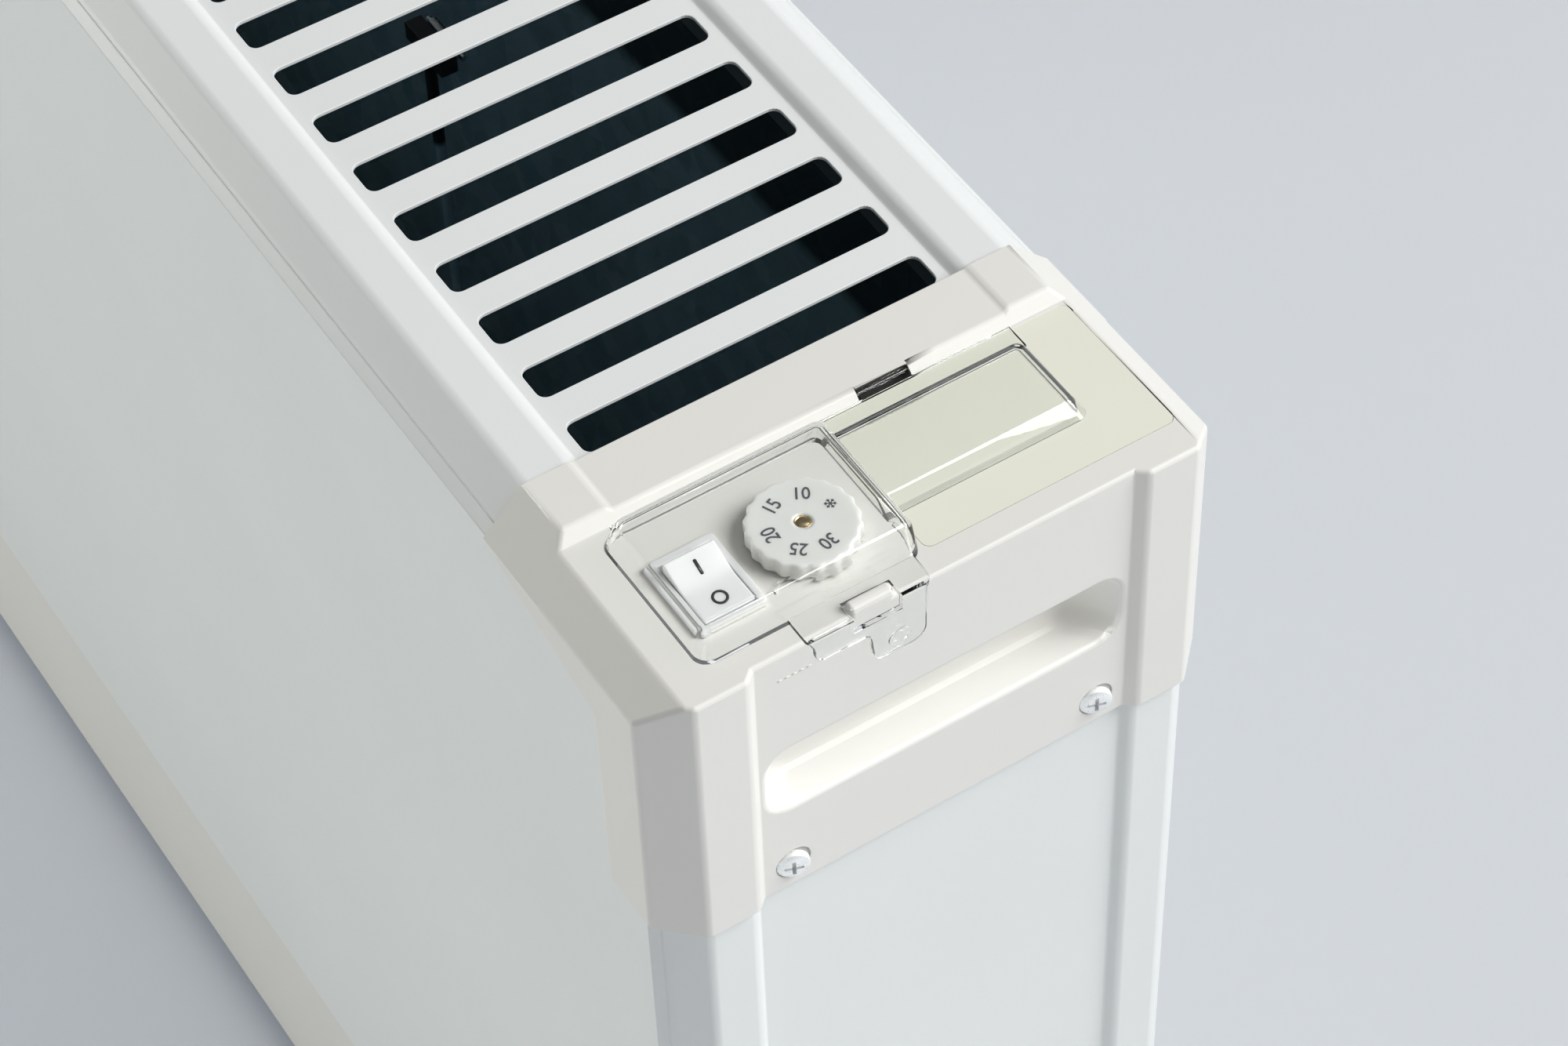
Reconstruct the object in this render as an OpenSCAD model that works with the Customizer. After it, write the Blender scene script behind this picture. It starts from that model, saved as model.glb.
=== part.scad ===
// Floor convector: a sheet steel casing on a plastic plinth, a slotted top grille between two
// moulded end caps, and the thermostat and switch under a hinged clear cover on the right cap.
// Millimetres. X runs along the casing, -Y is the front, Z = 0 is the floor.

/* [Casing] */
// Overall length over the end caps
body_length = 665; // [560:1:1200]
// Height of the grille above the floor
grille_height = 435; // [400:1:600]
// Depth of the casing over its corner flanges, without the panels
case_depth = 133.6; // [128:0.1:170]
// Thickness of the steel sheet
sheet = 1.0; // [0.7:0.1:1.4]
// Width of the sloped edge along the top, each way
top_chamfer = 7.4; // [5:0.1:9]
// Width of the sloped edge down the four corners, each way
corner_chamfer = 7.0; // [5:0.1:9]
// Lean of the flange below a sloped edge
flange_lean = 0.9; // [0.4:0.1:1.4]
// Depth of the flanges that the panels lie on
flange_drop = 20; // [14:0.5:30]
// Depth of the long recess down the middle of each end
end_recess = 2.2; // [1.2:0.1:3]
// Thickness of the front and rear panels
panel_sheet = 1.0; // [0.8:0.1:1.4]
// Distance from the grille down to the top edge of the panels
panel_drop = 7.7; // [7:0.1:10]
// Distance from each end to the side edge of the panels
panel_side = 13.5; // [11:0.1:20]
// Gap between pieces that are screwed or clipped together
seat_gap = 0.3; // [0.2:0.05:0.4]

/* [Grille] */
// Length of a slot
slot_length = 86; // [70:0.5:90]
// Width of a slot
slot_width = 9.7; // [6:0.1:12]
// Spacing of the slots
slot_pitch = 17.9; // [14:0.1:24]
// Corner radius of a slot
slot_corner = 2.2; // [1:0.1:2.8]
// Flat metal between a slot's end and the side rail
slot_margin = 2.6; // [2:0.1:4]
// Height of the side rails above the grille
rail_rise = 2.15; // [1.2:0.05:2.5]

/* [End caps] */
// Length of a cap on top
cap_length = 66.3; // [64:0.1:80]
// Length of the raised strip next to the grille
strip_length = 15.5; // [14.5:0.1:18]
// Length of the slope from the strip down to the flat top
slope_length = 2.1; // [1.8:0.1:3]
// Height of the flat top above the grille
deck_rise = 0.7; // [0.4:0.05:1]
// Height of the cap's rails above the casing's rails
cap_rise = 1.15; // [1:0.05:1.6]
// Step from the cap's rails down to the middle of the strip
strip_step = 0.6; // [0.3:0.05:0.9]
// Distance that the cap stands out from the panels
cap_proud = 0.9; // [0.6:0.05:1.3]
// Distance that the cap stands out from the end of the casing
cap_end_proud = 1.5; // [1.3:0.05:2]
// Width of the sloped edge down the cap's corners, each way
cap_corner = 9.1; // [8:0.1:10]
// Depth of the cap below the grille
cap_skirt = 75.2; // [74:0.1:90]
// Width of the cap on the front, from the end
skirt_width = 25.1; // [22:0.1:30]
// Height of the cap on the front where it meets that width
skirt_drop = 21; // [16:0.1:26]
// Thickness of the cap's top
cap_wall = 2.2; // [1.8:0.1:2.6]
// Lap of the grille sheet under the cap
sheet_lap = 8; // [5:0.5:9]
// Length of the grip recess
grip_length = 86.8; // [70:0.1:88]
// Height of the grip recess's mouth
grip_height = 18.9; // [16:0.1:21]
// Distance from the grille down to the middle of the mouth
grip_drop = 39.5; // [38.5:0.1:42]
// Corner radius of the mouth
grip_corner = 6; // [4:0.1:7]
// Depth of the grip recess
grip_depth = 11; // [9:0.1:12.5]
// Drop of its floor from the mouth to the back
grip_fall = 3; // [1:0.1:6]
// Lean of each end wall from the mouth to the back
grip_lean = 5.4; // [2:0.1:7]
// Wall of the grip recess
grip_wall = 1.5; // [1.2:0.1:1.8]

/* [Controls] */
// Distance from the end to the dial and the switch
control_inset = 24.7; // [24:0.1:26]
// Distance of the dial in front of the middle
dial_offset = 19.1; // [17:0.1:20]
// Distance of the switch in front of the middle
switch_offset = 41.7; // [41:0.1:43]
// Diameter of the dial
dial_diameter = 23.8; // [20:0.1:25]
// Thickness of the dial
dial_height = 4; // [3:0.1:4.5]
// Gap between the dial and the deck
dial_gap = 0.6; // [0.4:0.05:0.8]
// Number of scallops round the dial
dial_scallops = 20; // [12:1:30]
// Diameter of the brass spindle
spindle_diameter = 3.8; // [3:0.1:5]
// Radial clearance of turning fits
run_clearance = 0.05; // [0.03:0.01:0.08]
// Length of the thermostat's body
thermostat_size = 23; // [20:0.5:24]
// Height of the thermostat's body
thermostat_height = 20; // [14:0.5:21]
// Length of the rocker
rocker_length = 15.2; // [13:0.1:16]
// Width of the rocker
rocker_width = 11.9; // [10:0.1:12]
// Tilt of the rocker to each side, in degrees
rocker_tilt = 10; // [7:0.5:12]
// Depth of the switch below the deck
switch_depth = 19; // [16:0.5:20]
// Width of the switch's rim
switch_rim = 1.0; // [0.7:0.1:1.4]

/* [Clear cover] */
// Thickness of the cover
cover_wall = 1.3; // [1:0.1:1.5]
// Gap under the cover
cover_gap = 0.3; // [0.2:0.05:0.4]
// Height of the deep part above the deck
dome_height = 8.6; // [8:0.1:12]
// Length of the deep part, across the cap
dome_length = 52; // [50:0.1:54]
// Height of the shallow part above the deck
tray_height = 4.0; // [3:0.1:5]
// Length of the shallow part
tray_length = 48.2; // [40:0.1:50]
// Width of the shallow part
tray_width = 24.6; // [20:0.1:26]
// Slope of the cover's sides
cover_draft = 1.9; // [1.2:0.1:2.2]
// Width of the hinge tab
tab_width = 12.1; // [8:0.1:14]
// Diameter of the hinge pins
hinge_diameter = 1.0; // [0.8:0.1:1]
// Width of the latch's window
window_width = 11.4; // [9:0.1:12]

/* [Plinth and feet] */
// Height of the plastic plinth
plinth_height = 71; // [50:0.5:90]
// Wall of the plinth
plinth_wall = 2.5; // [2:0.1:3.5]
// Height of the rubber feet
foot_height = 8; // [6:0.5:20]
// Diameter of the rubber feet
foot_diameter = 24; // [18:0.5:30]
// Distance from the ends to the feet
foot_inset = 45; // [36:0.5:80]
// Diameter of the feet's screws
foot_screw = 5; // [4:0.5:6]
// Width of an air slot in the intake plate
intake_slot = 10; // [6:0.5:12]
// Spacing of the air slots
intake_pitch = 24; // [18:0.5:32]
// Bore of the cord inlet
inlet_bore = 8; // [6:0.1:10]
// Distance from the end to the cord inlet
inlet_inset = 80; // [74:0.5:110]

/* [Heater] */
// Diameter of the heating tube
tube_diameter = 8; // [6:0.1:10]
// Distance between the two legs of the tube
tube_spacing = 36; // [28:0.5:50]
// Height of the tube above the floor
tube_height = 165; // [140:0.5:200]
// Depth of a fin
fin_depth = 84; // [64:0.5:92]
// Height of a fin
fin_height = 50; // [30:0.5:60]
// Thickness of a fin
fin_sheet = 0.8; // [0.5:0.1:1.2]
// Spacing of the fins
fin_pitch = 12; // [8:0.5:20]
// Distance from the ends to the partitions
partition_inset = 64; // [63:0.5:70]
// Gap between a heat shield and its panel
shield_gap = 11; // [9:0.5:14]

/* [Hidden] */
$fn = 48;
cut = 0.01;
steel_white = [0.87, 0.88, 0.88];
plastic_white = [0.87, 0.86, 0.84];

// Casing section, front to back
half_length = body_length / 2;
case_half = case_depth / 2;
chamfer_half = case_half - flange_lean;
rail_half = chamfer_half - top_chamfer;
trough_half = slot_length / 2 + slot_margin;
slope_half = trough_half + rail_rise;
panel_inner = case_half + seat_gap;
panel_outer = panel_inner + panel_sheet;
cap_half = panel_outer + cap_proud;
flange_bend = 4.3;
plinth_top = foot_height + plinth_height;
deck = deck_rise;

// Cap levels, counted from the grille
cap_rail = rail_rise + cap_rise;
strip_top = cap_rail - strip_step;
strip_end = -cap_length + strip_length;
slope_end = strip_end + slope_length;
cap_chamfer = top_chamfer + cap_half - panel_outer + panel_sheet + flange_lean + 0.1;
cap_rail_half = cap_half - cap_chamfer;
cap_chamfer_low = cap_rail - cap_chamfer;
sheet_end = -cap_length + sheet_lap;
end_middle = cap_end_proud + end_recess;
cap_middle = end_recess;
lap_height = 18;
grip_fillet = 3;
grip_top = -grip_drop + grip_height / 2;
grip_low = -grip_drop - grip_height / 2;
// The cap's screws: height above its lower edge, and distance from the recess's sloped side
screw_drop = cap_skirt - 7.2;
screw_half = slope_half - 9.7;

// Hinge of the cover, from the end and above the grille
hinge_x = -cap_length + strip_length + 0.5;
hinge_z = deck + 0.6;
hinge_y = 16.5;
// Length of each hinge pin in the cap
pin_length = 1.3;
cover_low = deck + cover_gap;
cover_back = slope_end + 0.7;
dome_near = -7.4;
dome_far = slope_end + 2.6;
dome_right = -1.8;
dome_left = dome_right - dome_length;
tray_far = slope_end + 5.1;
flap_gap = 0.5;
window_mid = -17.4;

// Switch, from the end and above the grille
valley = 3.6;
pivot_z = deck + switch_rim + 0.2 - valley * cos(rocker_tilt);
rocker_end = valley + rocker_length / 2 * tan(rocker_tilt);
rocker_reach = norm([rocker_length / 2, rocker_end])
    * cos(atan(rocker_end / (rocker_length / 2)) - rocker_tilt);
switch_hole_x = 2 * (rocker_reach + seat_gap);
switch_hole_y = rocker_width + 2 * seat_gap;
switch_wall = 0.9;
switch_out_x = switch_hole_x / 2 + switch_wall;
switch_out_y = switch_hole_y / 2 + switch_wall;
trunnion = 1.2;

// Heater, between the partitions
partition_x = half_length - partition_inset;
fin_margin = 30;
fin_zone = 2 * (partition_x - fin_margin);
fin_count = floor(fin_zone / fin_pitch);
shield_y = case_half - shield_gap;
shield_low = plinth_top + 30;
shield_high = grille_height - 22;
support_inset = 241;
support_x = half_length - support_inset;
bush_radius = tube_diameter / 2 + 4;

function unit(v) = v / norm(v);
function left_of(v) = [-v[1], v[0]];
// A point moved sideways from an open outline, square to both of its edges
function moved(points, i, by) =
    let (n = len(points),
        a = i > 0 ? unit(points[i] - points[i - 1]) : unit(points[1] - points[0]),
        b = i < n - 1 ? unit(points[i + 1] - points[i]) : a,
        m = left_of(a) + left_of(b))
    points[i] + m * (2 * by / (m * m));
function moved_outline(points, by) = [for (i = [0:len(points) - 1]) moved(points, i, by)];
function reversed(points) = [for (i = [len(points) - 1:-1:0]) points[i]];
function bent_sheet(points, by) = concat(points, reversed(moved_outline(points, by)));
function mirrored(points) = concat(points, [for (p = reversed(points)) [-p[0], p[1]]]);
function flipped(points) = concat(points, [for (p = reversed(points)) [p[0], -p[1]]]);
// A closed outline with its corners rounded, each by its own radius
function softened(points, radii, steps = 5) = let (n = len(points))
    [for (i = [0:n - 1], s = [0:radii[i] > 0 ? steps : 0])
        let (p = points[i], a = unit(points[(i + n - 1) % n] - p), b = unit(points[(i + 1) % n] - p),
            half = acos(a * b) / 2, reach = radii[i] / tan(half), out = unit(a + b),
            middle = p + out * (radii[i] / sin(half)), t = s / steps)
        radii[i] > 0 ? middle + radii[i] * unit((p + a * reach - middle) * (1 - t)
            + (p + b * reach - middle) * t) : p];
function rounded(w, h, r, steps = 5) = [for (q = [0:3], s = [0:steps])
    let (a = 90 * (q + s / steps), sx = q == 0 || q == 3 ? 1 : -1, sy = q < 2 ? 1 : -1)
    [sx * (w / 2 - r) + r * cos(a), sy * (h / 2 - r) + r * sin(a)]];

// Outline of the grille sheet, front flange to rear flange, in Y and Z
grille_outline = mirrored([[-case_half, -flange_bend - top_chamfer - flange_drop + rail_rise],
    [-case_half, -flange_bend + rail_rise - top_chamfer], [-chamfer_half, rail_rise - top_chamfer],
    [-rail_half, rail_rise], [-slope_half, rail_rise], [-trough_half, 0]]);
// Outline of an end panel, in X from the end and Y
end_outline = flipped([[-panel_side - flange_drop, -case_half],
    [-cap_end_proud - corner_chamfer - flange_bend, -case_half],
    [-cap_end_proud - corner_chamfer, -chamfer_half],
    [-cap_end_proud, -chamfer_half + corner_chamfer], [-cap_end_proud, -slope_half],
    [-end_middle, -trough_half]]);
// Outside of a cap, in Y and Z, and seen from above in X and Y
cap_section = mirrored([[-cap_half, -cap_skirt], [-cap_half, cap_chamfer_low],
    [-cap_rail_half, cap_rail], [-slope_half - 0.8, cap_rail], [-slope_half + 0.5, strip_top]]);
cap_plan = flipped([[-cap_length, -cap_half], [-cap_corner, -cap_half],
    [0, -cap_half + cap_corner], [0, -slope_half], [-cap_middle, -trough_half + 0.4]]);

// An outline in Y and Z, drawn out along X
module along_x(from, to) {
    translate([from, 0, 0]) rotate([90, 0, 90]) linear_extrude(to - from) children();
}
// An outline in X and Z, drawn out along Y
module along_y(from, to) {
    translate([0, to, 0]) rotate([90, 0, 0]) linear_extrude(to - from) children();
}
module box(low, high) {
    translate(low) cube(high - low);
}
// A cylinder along X, Y or Z from a point
module rod(at, radius, length, axis = "z") {
    translate(at) rotate(axis == "x" ? [0, 90, 0] : axis == "y" ? [-90, 0, 0] : [0, 0, 0])
        cylinder(r = radius, h = length);
}
// Places a piece of an end: side 1 is the right end, -1 the left one
module at_end(side) {
    if (side > 0) translate([half_length, 0, grille_height]) children();
    else mirror([1, 0, 0]) translate([half_length, 0, grille_height]) children();
}

slot_run = body_length - 2 * cap_length - 2;
slot_count = floor((slot_run - slot_width) / slot_pitch) + 1;

module top_grille() {
    color(steel_white) difference() {
        translate([0, 0, grille_height])
            along_x(-half_length - sheet_end, half_length + sheet_end)
                polygon(bent_sheet(grille_outline, -sheet));
        translate([0, 0, grille_height - 2 * sheet]) linear_extrude(4 * sheet)
            for (i = [0:slot_count - 1])
                translate([(i - (slot_count - 1) / 2) * slot_pitch, 0])
                    polygon(rounded(slot_width, slot_length, slot_corner));
    }
}

// Half of a panel's outline, in X and Z: it runs round the skirt of the cap
panel_low = plinth_top + seat_gap;
panel_notch = [[half_length - panel_side, panel_low],
    [half_length - panel_side, grille_height - cap_skirt - seat_gap],
    [half_length - skirt_width - seat_gap, grille_height - cap_skirt - seat_gap],
    [half_length - skirt_width - seat_gap, grille_height - skirt_drop - seat_gap],
    [half_length - cap_length - seat_gap, grille_height - panel_drop]];

// Height of the screws that hold the rear panel
panel_screw_z = plinth_top + 9;
module panel_sheet_shape() {
    along_y(-panel_outer, -panel_inner)
        polygon(mirrored([for (p = reversed(panel_notch)) [-p[0], p[1]]]));
}
module front_panel() {
    color(steel_white) panel_sheet_shape();
}
module rear_panel() {
    color(steel_white) mirror([0, 1, 0]) difference() {
        panel_sheet_shape();
        for (x = [-1, 1] * (half_length - panel_side - flange_drop / 2))
            rod([x, -panel_outer - 1, panel_screw_z], 2.1, panel_sheet + 2, "y");
    }
}

module end_panel(side) {
    at_end(side) difference() {
        translate([0, 0, plinth_top + seat_gap - grille_height])
            linear_extrude(grille_height - plinth_top - seat_gap - cap_skirt + lap_height)
                polygon(bent_sheet(end_outline, sheet));
        for (y = [-1, 1] * screw_half)
            rod([-end_middle - 2 * sheet, y, -screw_drop], 1.7, 4 * sheet, "x");
        for (y = [-1, 1] * case_half)
            rod([-panel_side - flange_drop / 2, y - 2 * sheet, panel_screw_z - grille_height],
                1.7, 4 * sheet, "y");
    }
}
module right_end_panel() {
    color(steel_white) end_panel(1);
}
module left_end_panel() {
    color(steel_white) end_panel(-1);
}

// Space inside a cap: over the grille sheet, and further out up to the end wall
module cap_space() {
    lap_zone = -cap_length + sheet_lap + 4;
    along_x(-cap_length - 1, lap_zone + cut)
        polygon(concat(
            [[-case_half - seat_gap, -cap_skirt - 1]],
            moved_outline(grille_outline, seat_gap), [[case_half + seat_gap, -cap_skirt - 1]]));
    inner_slope = cap_rail_half + cap_rail - cap_wall * sqrt(2);
    inner_top = deck - cap_wall;
    intersection() {
        along_x(lap_zone, 1) polygon(mirrored([[-panel_inner, -cap_skirt - 1],
            [-panel_inner, inner_slope - panel_inner], [-inner_slope + inner_top, inner_top]]));
        translate([0, 0, -cap_skirt - 1]) linear_extrude(cap_skirt + 2)
            polygon(concat([[-cap_length - 1, -panel_inner]],
                moved_outline(end_outline, -seat_gap), [[-cap_length - 1, panel_inner]]));
    }
}
// Sides of the cap lie only beside the corner and under the sloped edge
module skirt_cut() {
    for (side = [0, 1]) mirror([0, side, 0])
        along_y(-cap_half - 1, -panel_inner + cut)
            polygon([[-cap_length - 1, -cap_skirt - 1], [-skirt_width, -cap_skirt - 1],
                [-skirt_width, -skirt_drop], [-cap_length, cap_chamfer_low - 0.1],
                [-cap_length - 1, cap_chamfer_low - 0.1]]);
}
// A thin slice of the grip recess at a depth, drawn in by a distance, or grown when that is negative
module grip_slice(depth, inset) {
    part = depth / grip_depth;
    along_x(-cap_middle - depth, -cap_middle - depth + cut)
        translate([0, -grip_drop - grip_fall * part / 2])
            polygon(rounded(grip_length - 2 * grip_lean * part - 2 * inset,
                grip_height + grip_fall * part - 2 * inset, grip_corner - min(inset, grip_fillet - 0.2)));
}
// Space of the grip recess, or the block around it when grown by the wall
module grip_block(wall) {
    back = grip_depth + wall;
    hull() {
        grip_slice(wall > 0 ? 0.4 : -1, -wall);
        grip_slice(back - grip_fillet, -wall);
        for (turn = [30, 60, 90])
            grip_slice(back - grip_fillet * (1 - sin(turn)), grip_fillet * (1 - cos(turn)) - wall);
    }
}
module cap_body() {
    difference() {
        union() {
            difference() {
                intersection() {
                    along_x(-cap_length, 0) polygon(cap_section);
                    translate([0, 0, -cap_skirt]) linear_extrude(cap_skirt + cap_rail + 1)
                        polygon(cap_plan);
                }
                cap_space();
            }
            grip_block(grip_wall);
        }
        along_y(-cap_half - 1, cap_half + 1) polygon([[slope_end, deck], [1, deck], [1, cap_rail + 3],
            [slope_end - slope_length * (cap_rail + 3 - deck) / (strip_top - deck), cap_rail + 3]]);
        skirt_cut();
        grip_block(0);
        for (y = [-1, 1] * screw_half) {
            rod([-cap_end_proud - end_recess - 1, y, -screw_drop], 1.9, 4, "x");
            rod([-cap_middle - 0.5, y, -screw_drop], 4.15, 4, "x");
        }
    }
}

module control_cap() {
    color(plastic_white) at_end(1) difference() {
        union() {
            cap_body();
            // Catch that the cover's window snaps over
            along_y(window_mid - window_width / 2 + 0.7, window_mid + window_width / 2 - 0.7)
                polygon([[-cap_middle - 2.9, deck - cut], [-cap_middle, deck - cut],
                    [-cap_middle, deck + 1.6], [-cap_middle - 0.8, deck + 2.3],
                    [-cap_middle - 2.9, deck + 2.3]]);
            // Mouldings that carry the ends of the hinge pins
            box([hinge_x - 2, hinge_y - tab_width / 2 - 4, deck - cap_wall - 1.5],
                [hinge_x + 2, hinge_y + tab_width / 2 + 4, deck - cap_wall + cut]);
        }
        translate([-control_inset, -switch_offset, 0])
            box([-switch_out_x - 0.1, -switch_out_y - 0.1, -cap_wall - 1],
                [switch_out_x + 0.1, switch_out_y + 0.1, deck + 1]);
        rod([-control_inset, -dial_offset, -cap_wall - 1], bush_outer + 0.2, cap_wall + 3);
        // Slot of the hinge tab, and the bores of its two pins
        box([strip_end - 0.25, hinge_y - tab_width / 2 - seat_gap, deck - cap_wall - 2],
            [cover_back + 0.05, hinge_y + tab_width / 2 + seat_gap, cap_rail + 1]);
        rod([hinge_x, hinge_y - tab_width / 2 - seat_gap - pin_length - 0.3, hinge_z],
            hinge_diameter / 2 + run_clearance, tab_width + 2 * (seat_gap + pin_length + 0.3), "y");
        plate_space();
    }
}
module plain_cap() {
    color(plastic_white) at_end(-1) cap_body();
}

plate_depth = 0.4;
plate_near = -8.7;
plate_far = slope_end + 0.9;
plate_left = dome_right + 1.3;
plate_right = cap_rail_half + cap_rail - deck - 0.9;
module plate_shape(grow) {
    translate([(plate_near + plate_far) / 2, (plate_left + plate_right) / 2])
        polygon(rounded(plate_near - plate_far + 2 * grow, plate_right - plate_left + 2 * grow, 2));
}
module plate_space() {
    translate([0, 0, deck - plate_depth]) linear_extrude(1) plate_shape(0.05);
}
module name_plate() {
    color([0.88, 0.88, 0.82]) at_end(1) difference() {
        translate([0, 0, deck - plate_depth]) linear_extrude(plate_depth) plate_shape(0);
        box([slope_end, hinge_y - tab_width / 2 - seat_gap, -1],
            [cover_back + 0.05, hinge_y + tab_width / 2 + seat_gap, 1 + deck]);
    }
}

// Deep part of the cover, or the space inside it when shrunk by the wall
module dome_solid(shrink) {
    r = 2.6 - shrink * 0.8;
    low_r = 3.5 - shrink * 0.8;
    base = cover_low - (shrink > 0 ? 1 : 0);
    top = deck + dome_height - shrink;
    hull() {
        for (x = [dome_far + shrink + low_r, dome_near - shrink - low_r],
             y = [dome_left + shrink + low_r, dome_right - shrink - low_r])
            translate([x, y, base]) cylinder(r = low_r, h = 0.3, $fn = 32);
        for (x = [dome_far + cover_draft + shrink + r, dome_near - cover_draft - shrink - r],
             y = [dome_left + cover_draft + shrink + r, dome_right - 0.4 - shrink - r])
            translate([x, y, top - r]) sphere(r = r, $fn = 32);
    }
}
// Shallow part of the cover, over the name plate
module tray_solid(shrink) {
    r = 2.6 - shrink * 0.7;
    base = cover_low - (shrink > 0 ? 1 : 0);
    top = deck + tray_height - shrink;
    near = tray_far + tray_width;
    left = dome_right - 2;
    right = dome_right + tray_length;
    intersection() {
        hull() {
            for (x = [tray_far + shrink + r, near - shrink - r], y = [left + r, right - shrink - r])
                translate([x, y, base]) cylinder(r = r, h = 0.3, $fn = 32);
            for (x = [tray_far + cover_draft / 2 + shrink + r, near - cover_draft - shrink - r],
                 y = [left + r, right - cover_draft / 2 - shrink - r])
                translate([x, y, top - r]) sphere(r = r, $fn = 32);
        }
        box([tray_far - 1, left - 1, base], [near + 1, right + 1, top + 1]);
    }
}
// The flap hangs from the cover's edge in two lobes, the right one lower
flap_left = [-33.6, -19.2];
flap_right = [-18.1, -4.4];
flap_low = [-5.3, -14.2];
flap_sheet = 1.2;
flap_z = cover_low + flap_sheet;
module flap_outline() {
    left = flap_left[0] + 1.6;
    right = flap_right[1] - 1.5;
    polygon(softened([[flap_left[0], flap_z], [left, deck - 2], [left, flap_low[0]],
        [flap_left[1], flap_low[0]], [flap_right[0], flap_low[1]], [right, flap_low[1]],
        [right, flap_z]], [0, 2.5, 2.6, 1.6, 2.4, 3.4, 0]));
}
module control_cover() {
    flap_in = -cap_middle + flap_gap;
    flap_out = flap_in + flap_sheet;
    ring = [flap_out - cut, flap_right[0] + 5.6, flap_low[1] + 4.3];
    ring_radius = 2.6;
    color([0.85, 0.9, 0.9, 0.4]) at_end(1) difference() {
        union() {
            difference() {
                union() {
                    dome_solid(0);
                    tray_solid(0);
                    box([cover_back, dome_left + 4, cover_low],
                        [tray_far + 2, dome_right + tray_length, cover_low + 1]);
                }
                dome_solid(cover_wall);
                difference() {
                    tray_solid(cover_wall);
                    box([-60, dome_right - cover_wall - 4, -2], [0, dome_right, 20]);
                }
            }
            translate([0, 0, cover_low]) linear_extrude(flap_sheet)
                polygon(softened([[dome_near - flap_sheet, flap_left[0]], [flap_out, flap_left[0]],
                    [flap_out, flap_right[1]], [dome_near - flap_sheet, flap_right[1]]], [0, 1.6, 2, 0]));
            along_x(flap_in, flap_out) flap_outline();
            rod(ring, ring_radius, 0.35, "x");
            box([hinge_x, hinge_y - tab_width / 2, hinge_z - 0.35],
                [cover_back + cut, hinge_y + tab_width / 2, hinge_z + 0.35]);
            rod([hinge_x, hinge_y - tab_width / 2, hinge_z], 0.65, tab_width, "y");
            rod([hinge_x, hinge_y - tab_width / 2 - seat_gap - pin_length, hinge_z], hinge_diameter / 2,
                tab_width + 2 * (seat_gap + pin_length), "y");
        }
        box([-cap_middle - 3.2, window_mid - window_width / 2, -1.9],
            [1, window_mid + window_width / 2, flap_z + 1]);
        rod(ring, ring_radius - 0.7, 1, "x");
    }
}

bush_outer = 4;
module thermostat_dial() {
    radius = dial_diameter / 2;
    depth = 0.35;
    steps = 6 * dial_scallops;
    color([0.93, 0.93, 0.9]) at_end(1) translate([-control_inset, -dial_offset, deck + dial_gap])
        difference() {
            linear_extrude(dial_height)
                polygon([for (i = [0:steps - 1]) let (a = 360 * i / steps,
                    r = radius - depth * (1 - cos(a * dial_scallops)))
                    [r * cos(a), r * sin(a)]]);
            rod([0, 0, -1], spindle_diameter / 2 + 0.02, dial_height + 2);
            // Hollow underside
            difference() {
                rod([0, 0, -cut], radius - 2.2, 1.6);
                rod([0, 0, -1], spindle_diameter / 2 + 1.6, 3);
            }
        }
}
module thermostat_spindle() {
    length = dial_height + dial_gap + cap_wall + 5;
    color([0.72, 0.58, 0.3]) at_end(1)
        translate([-control_inset, -dial_offset, deck + dial_gap + dial_height - 0.2 - length])
            difference() {
                cylinder(r = spindle_diameter / 2, h = length);
                box([-spindle_diameter, -spindle_diameter, length - 0.5],
                    [spindle_diameter, -0.5, length + 1]);
            }
}
module thermostat_body() {
    size = thermostat_size;
    top = deck - cap_wall;
    color([0.2, 0.2, 0.2]) at_end(1) translate([-control_inset, -dial_offset, 0]) difference() {
        union() {
            box([-size / 2, -size / 2 + 2, top - thermostat_height], [size / 2, size / 2 + 2, top]);
            rod([0, 0, top - cut], bush_outer, cap_wall + dial_gap - 0.3);
        }
        rod([0, 0, top - 6], spindle_diameter / 2 + run_clearance, 12);
    }
}
// Directions along a run of wire, and at each point a side direction carried on from the last
function along(points, i) = let (n = len(points))
    unit((i > 0 ? unit(points[i] - points[i - 1]) : [0, 0, 0])
        + (i < n - 1 ? unit(points[i + 1] - points[i]) : [0, 0, 0]));
function side_from(last, t) = unit(last - t * (last * t));
function sides(points, i = 0, last = [0.31, 0.9, 0.3]) = i == len(points) ? []
    : let (s = side_from(last, along(points, i))) concat([s], sides(points, i + 1, s));
// A thin round wire or tube through a list of points
module run(points, radius, n = 8) {
    side = sides(points);
    rings = [for (i = [0:len(points) - 1], k = [0:n - 1]) let (t = along(points, i), a = 360 * k / n)
        points[i] + radius * (cos(a) * side[i] + sin(a) * cross(t, side[i]))];
    last = n * (len(points) - 1);
    polyhedron(rings, concat([[for (k = [0:n - 1]) k]], [[for (k = [n - 1:-1:0]) last + k]],
        [for (i = [0:len(points) - 2], k = [0:n - 1]) [i * n + k, (i + 1) * n + k,
            (i + 1) * n + (k + 1) % n, i * n + (k + 1) % n]]));
}
bulb_x = half_length - 44;
bulb_y = 8;
bulb_low = tube_height - 58;
bulb_length = 40;
module capillary_bulb() {
    top = grille_height + deck - cap_wall - thermostat_height;
    color([0.72, 0.45, 0.3]) {
        rod([bulb_x, bulb_y, bulb_low], 3, bulb_length);
        run([[bulb_x, bulb_y, bulb_low + bulb_length - 0.5], [bulb_x, bulb_y, top - 30],
            [half_length - control_inset, -dial_offset + 4, top - 15],
            [half_length - control_inset, -dial_offset + 4, top]], 0.9);
    }
}
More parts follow.
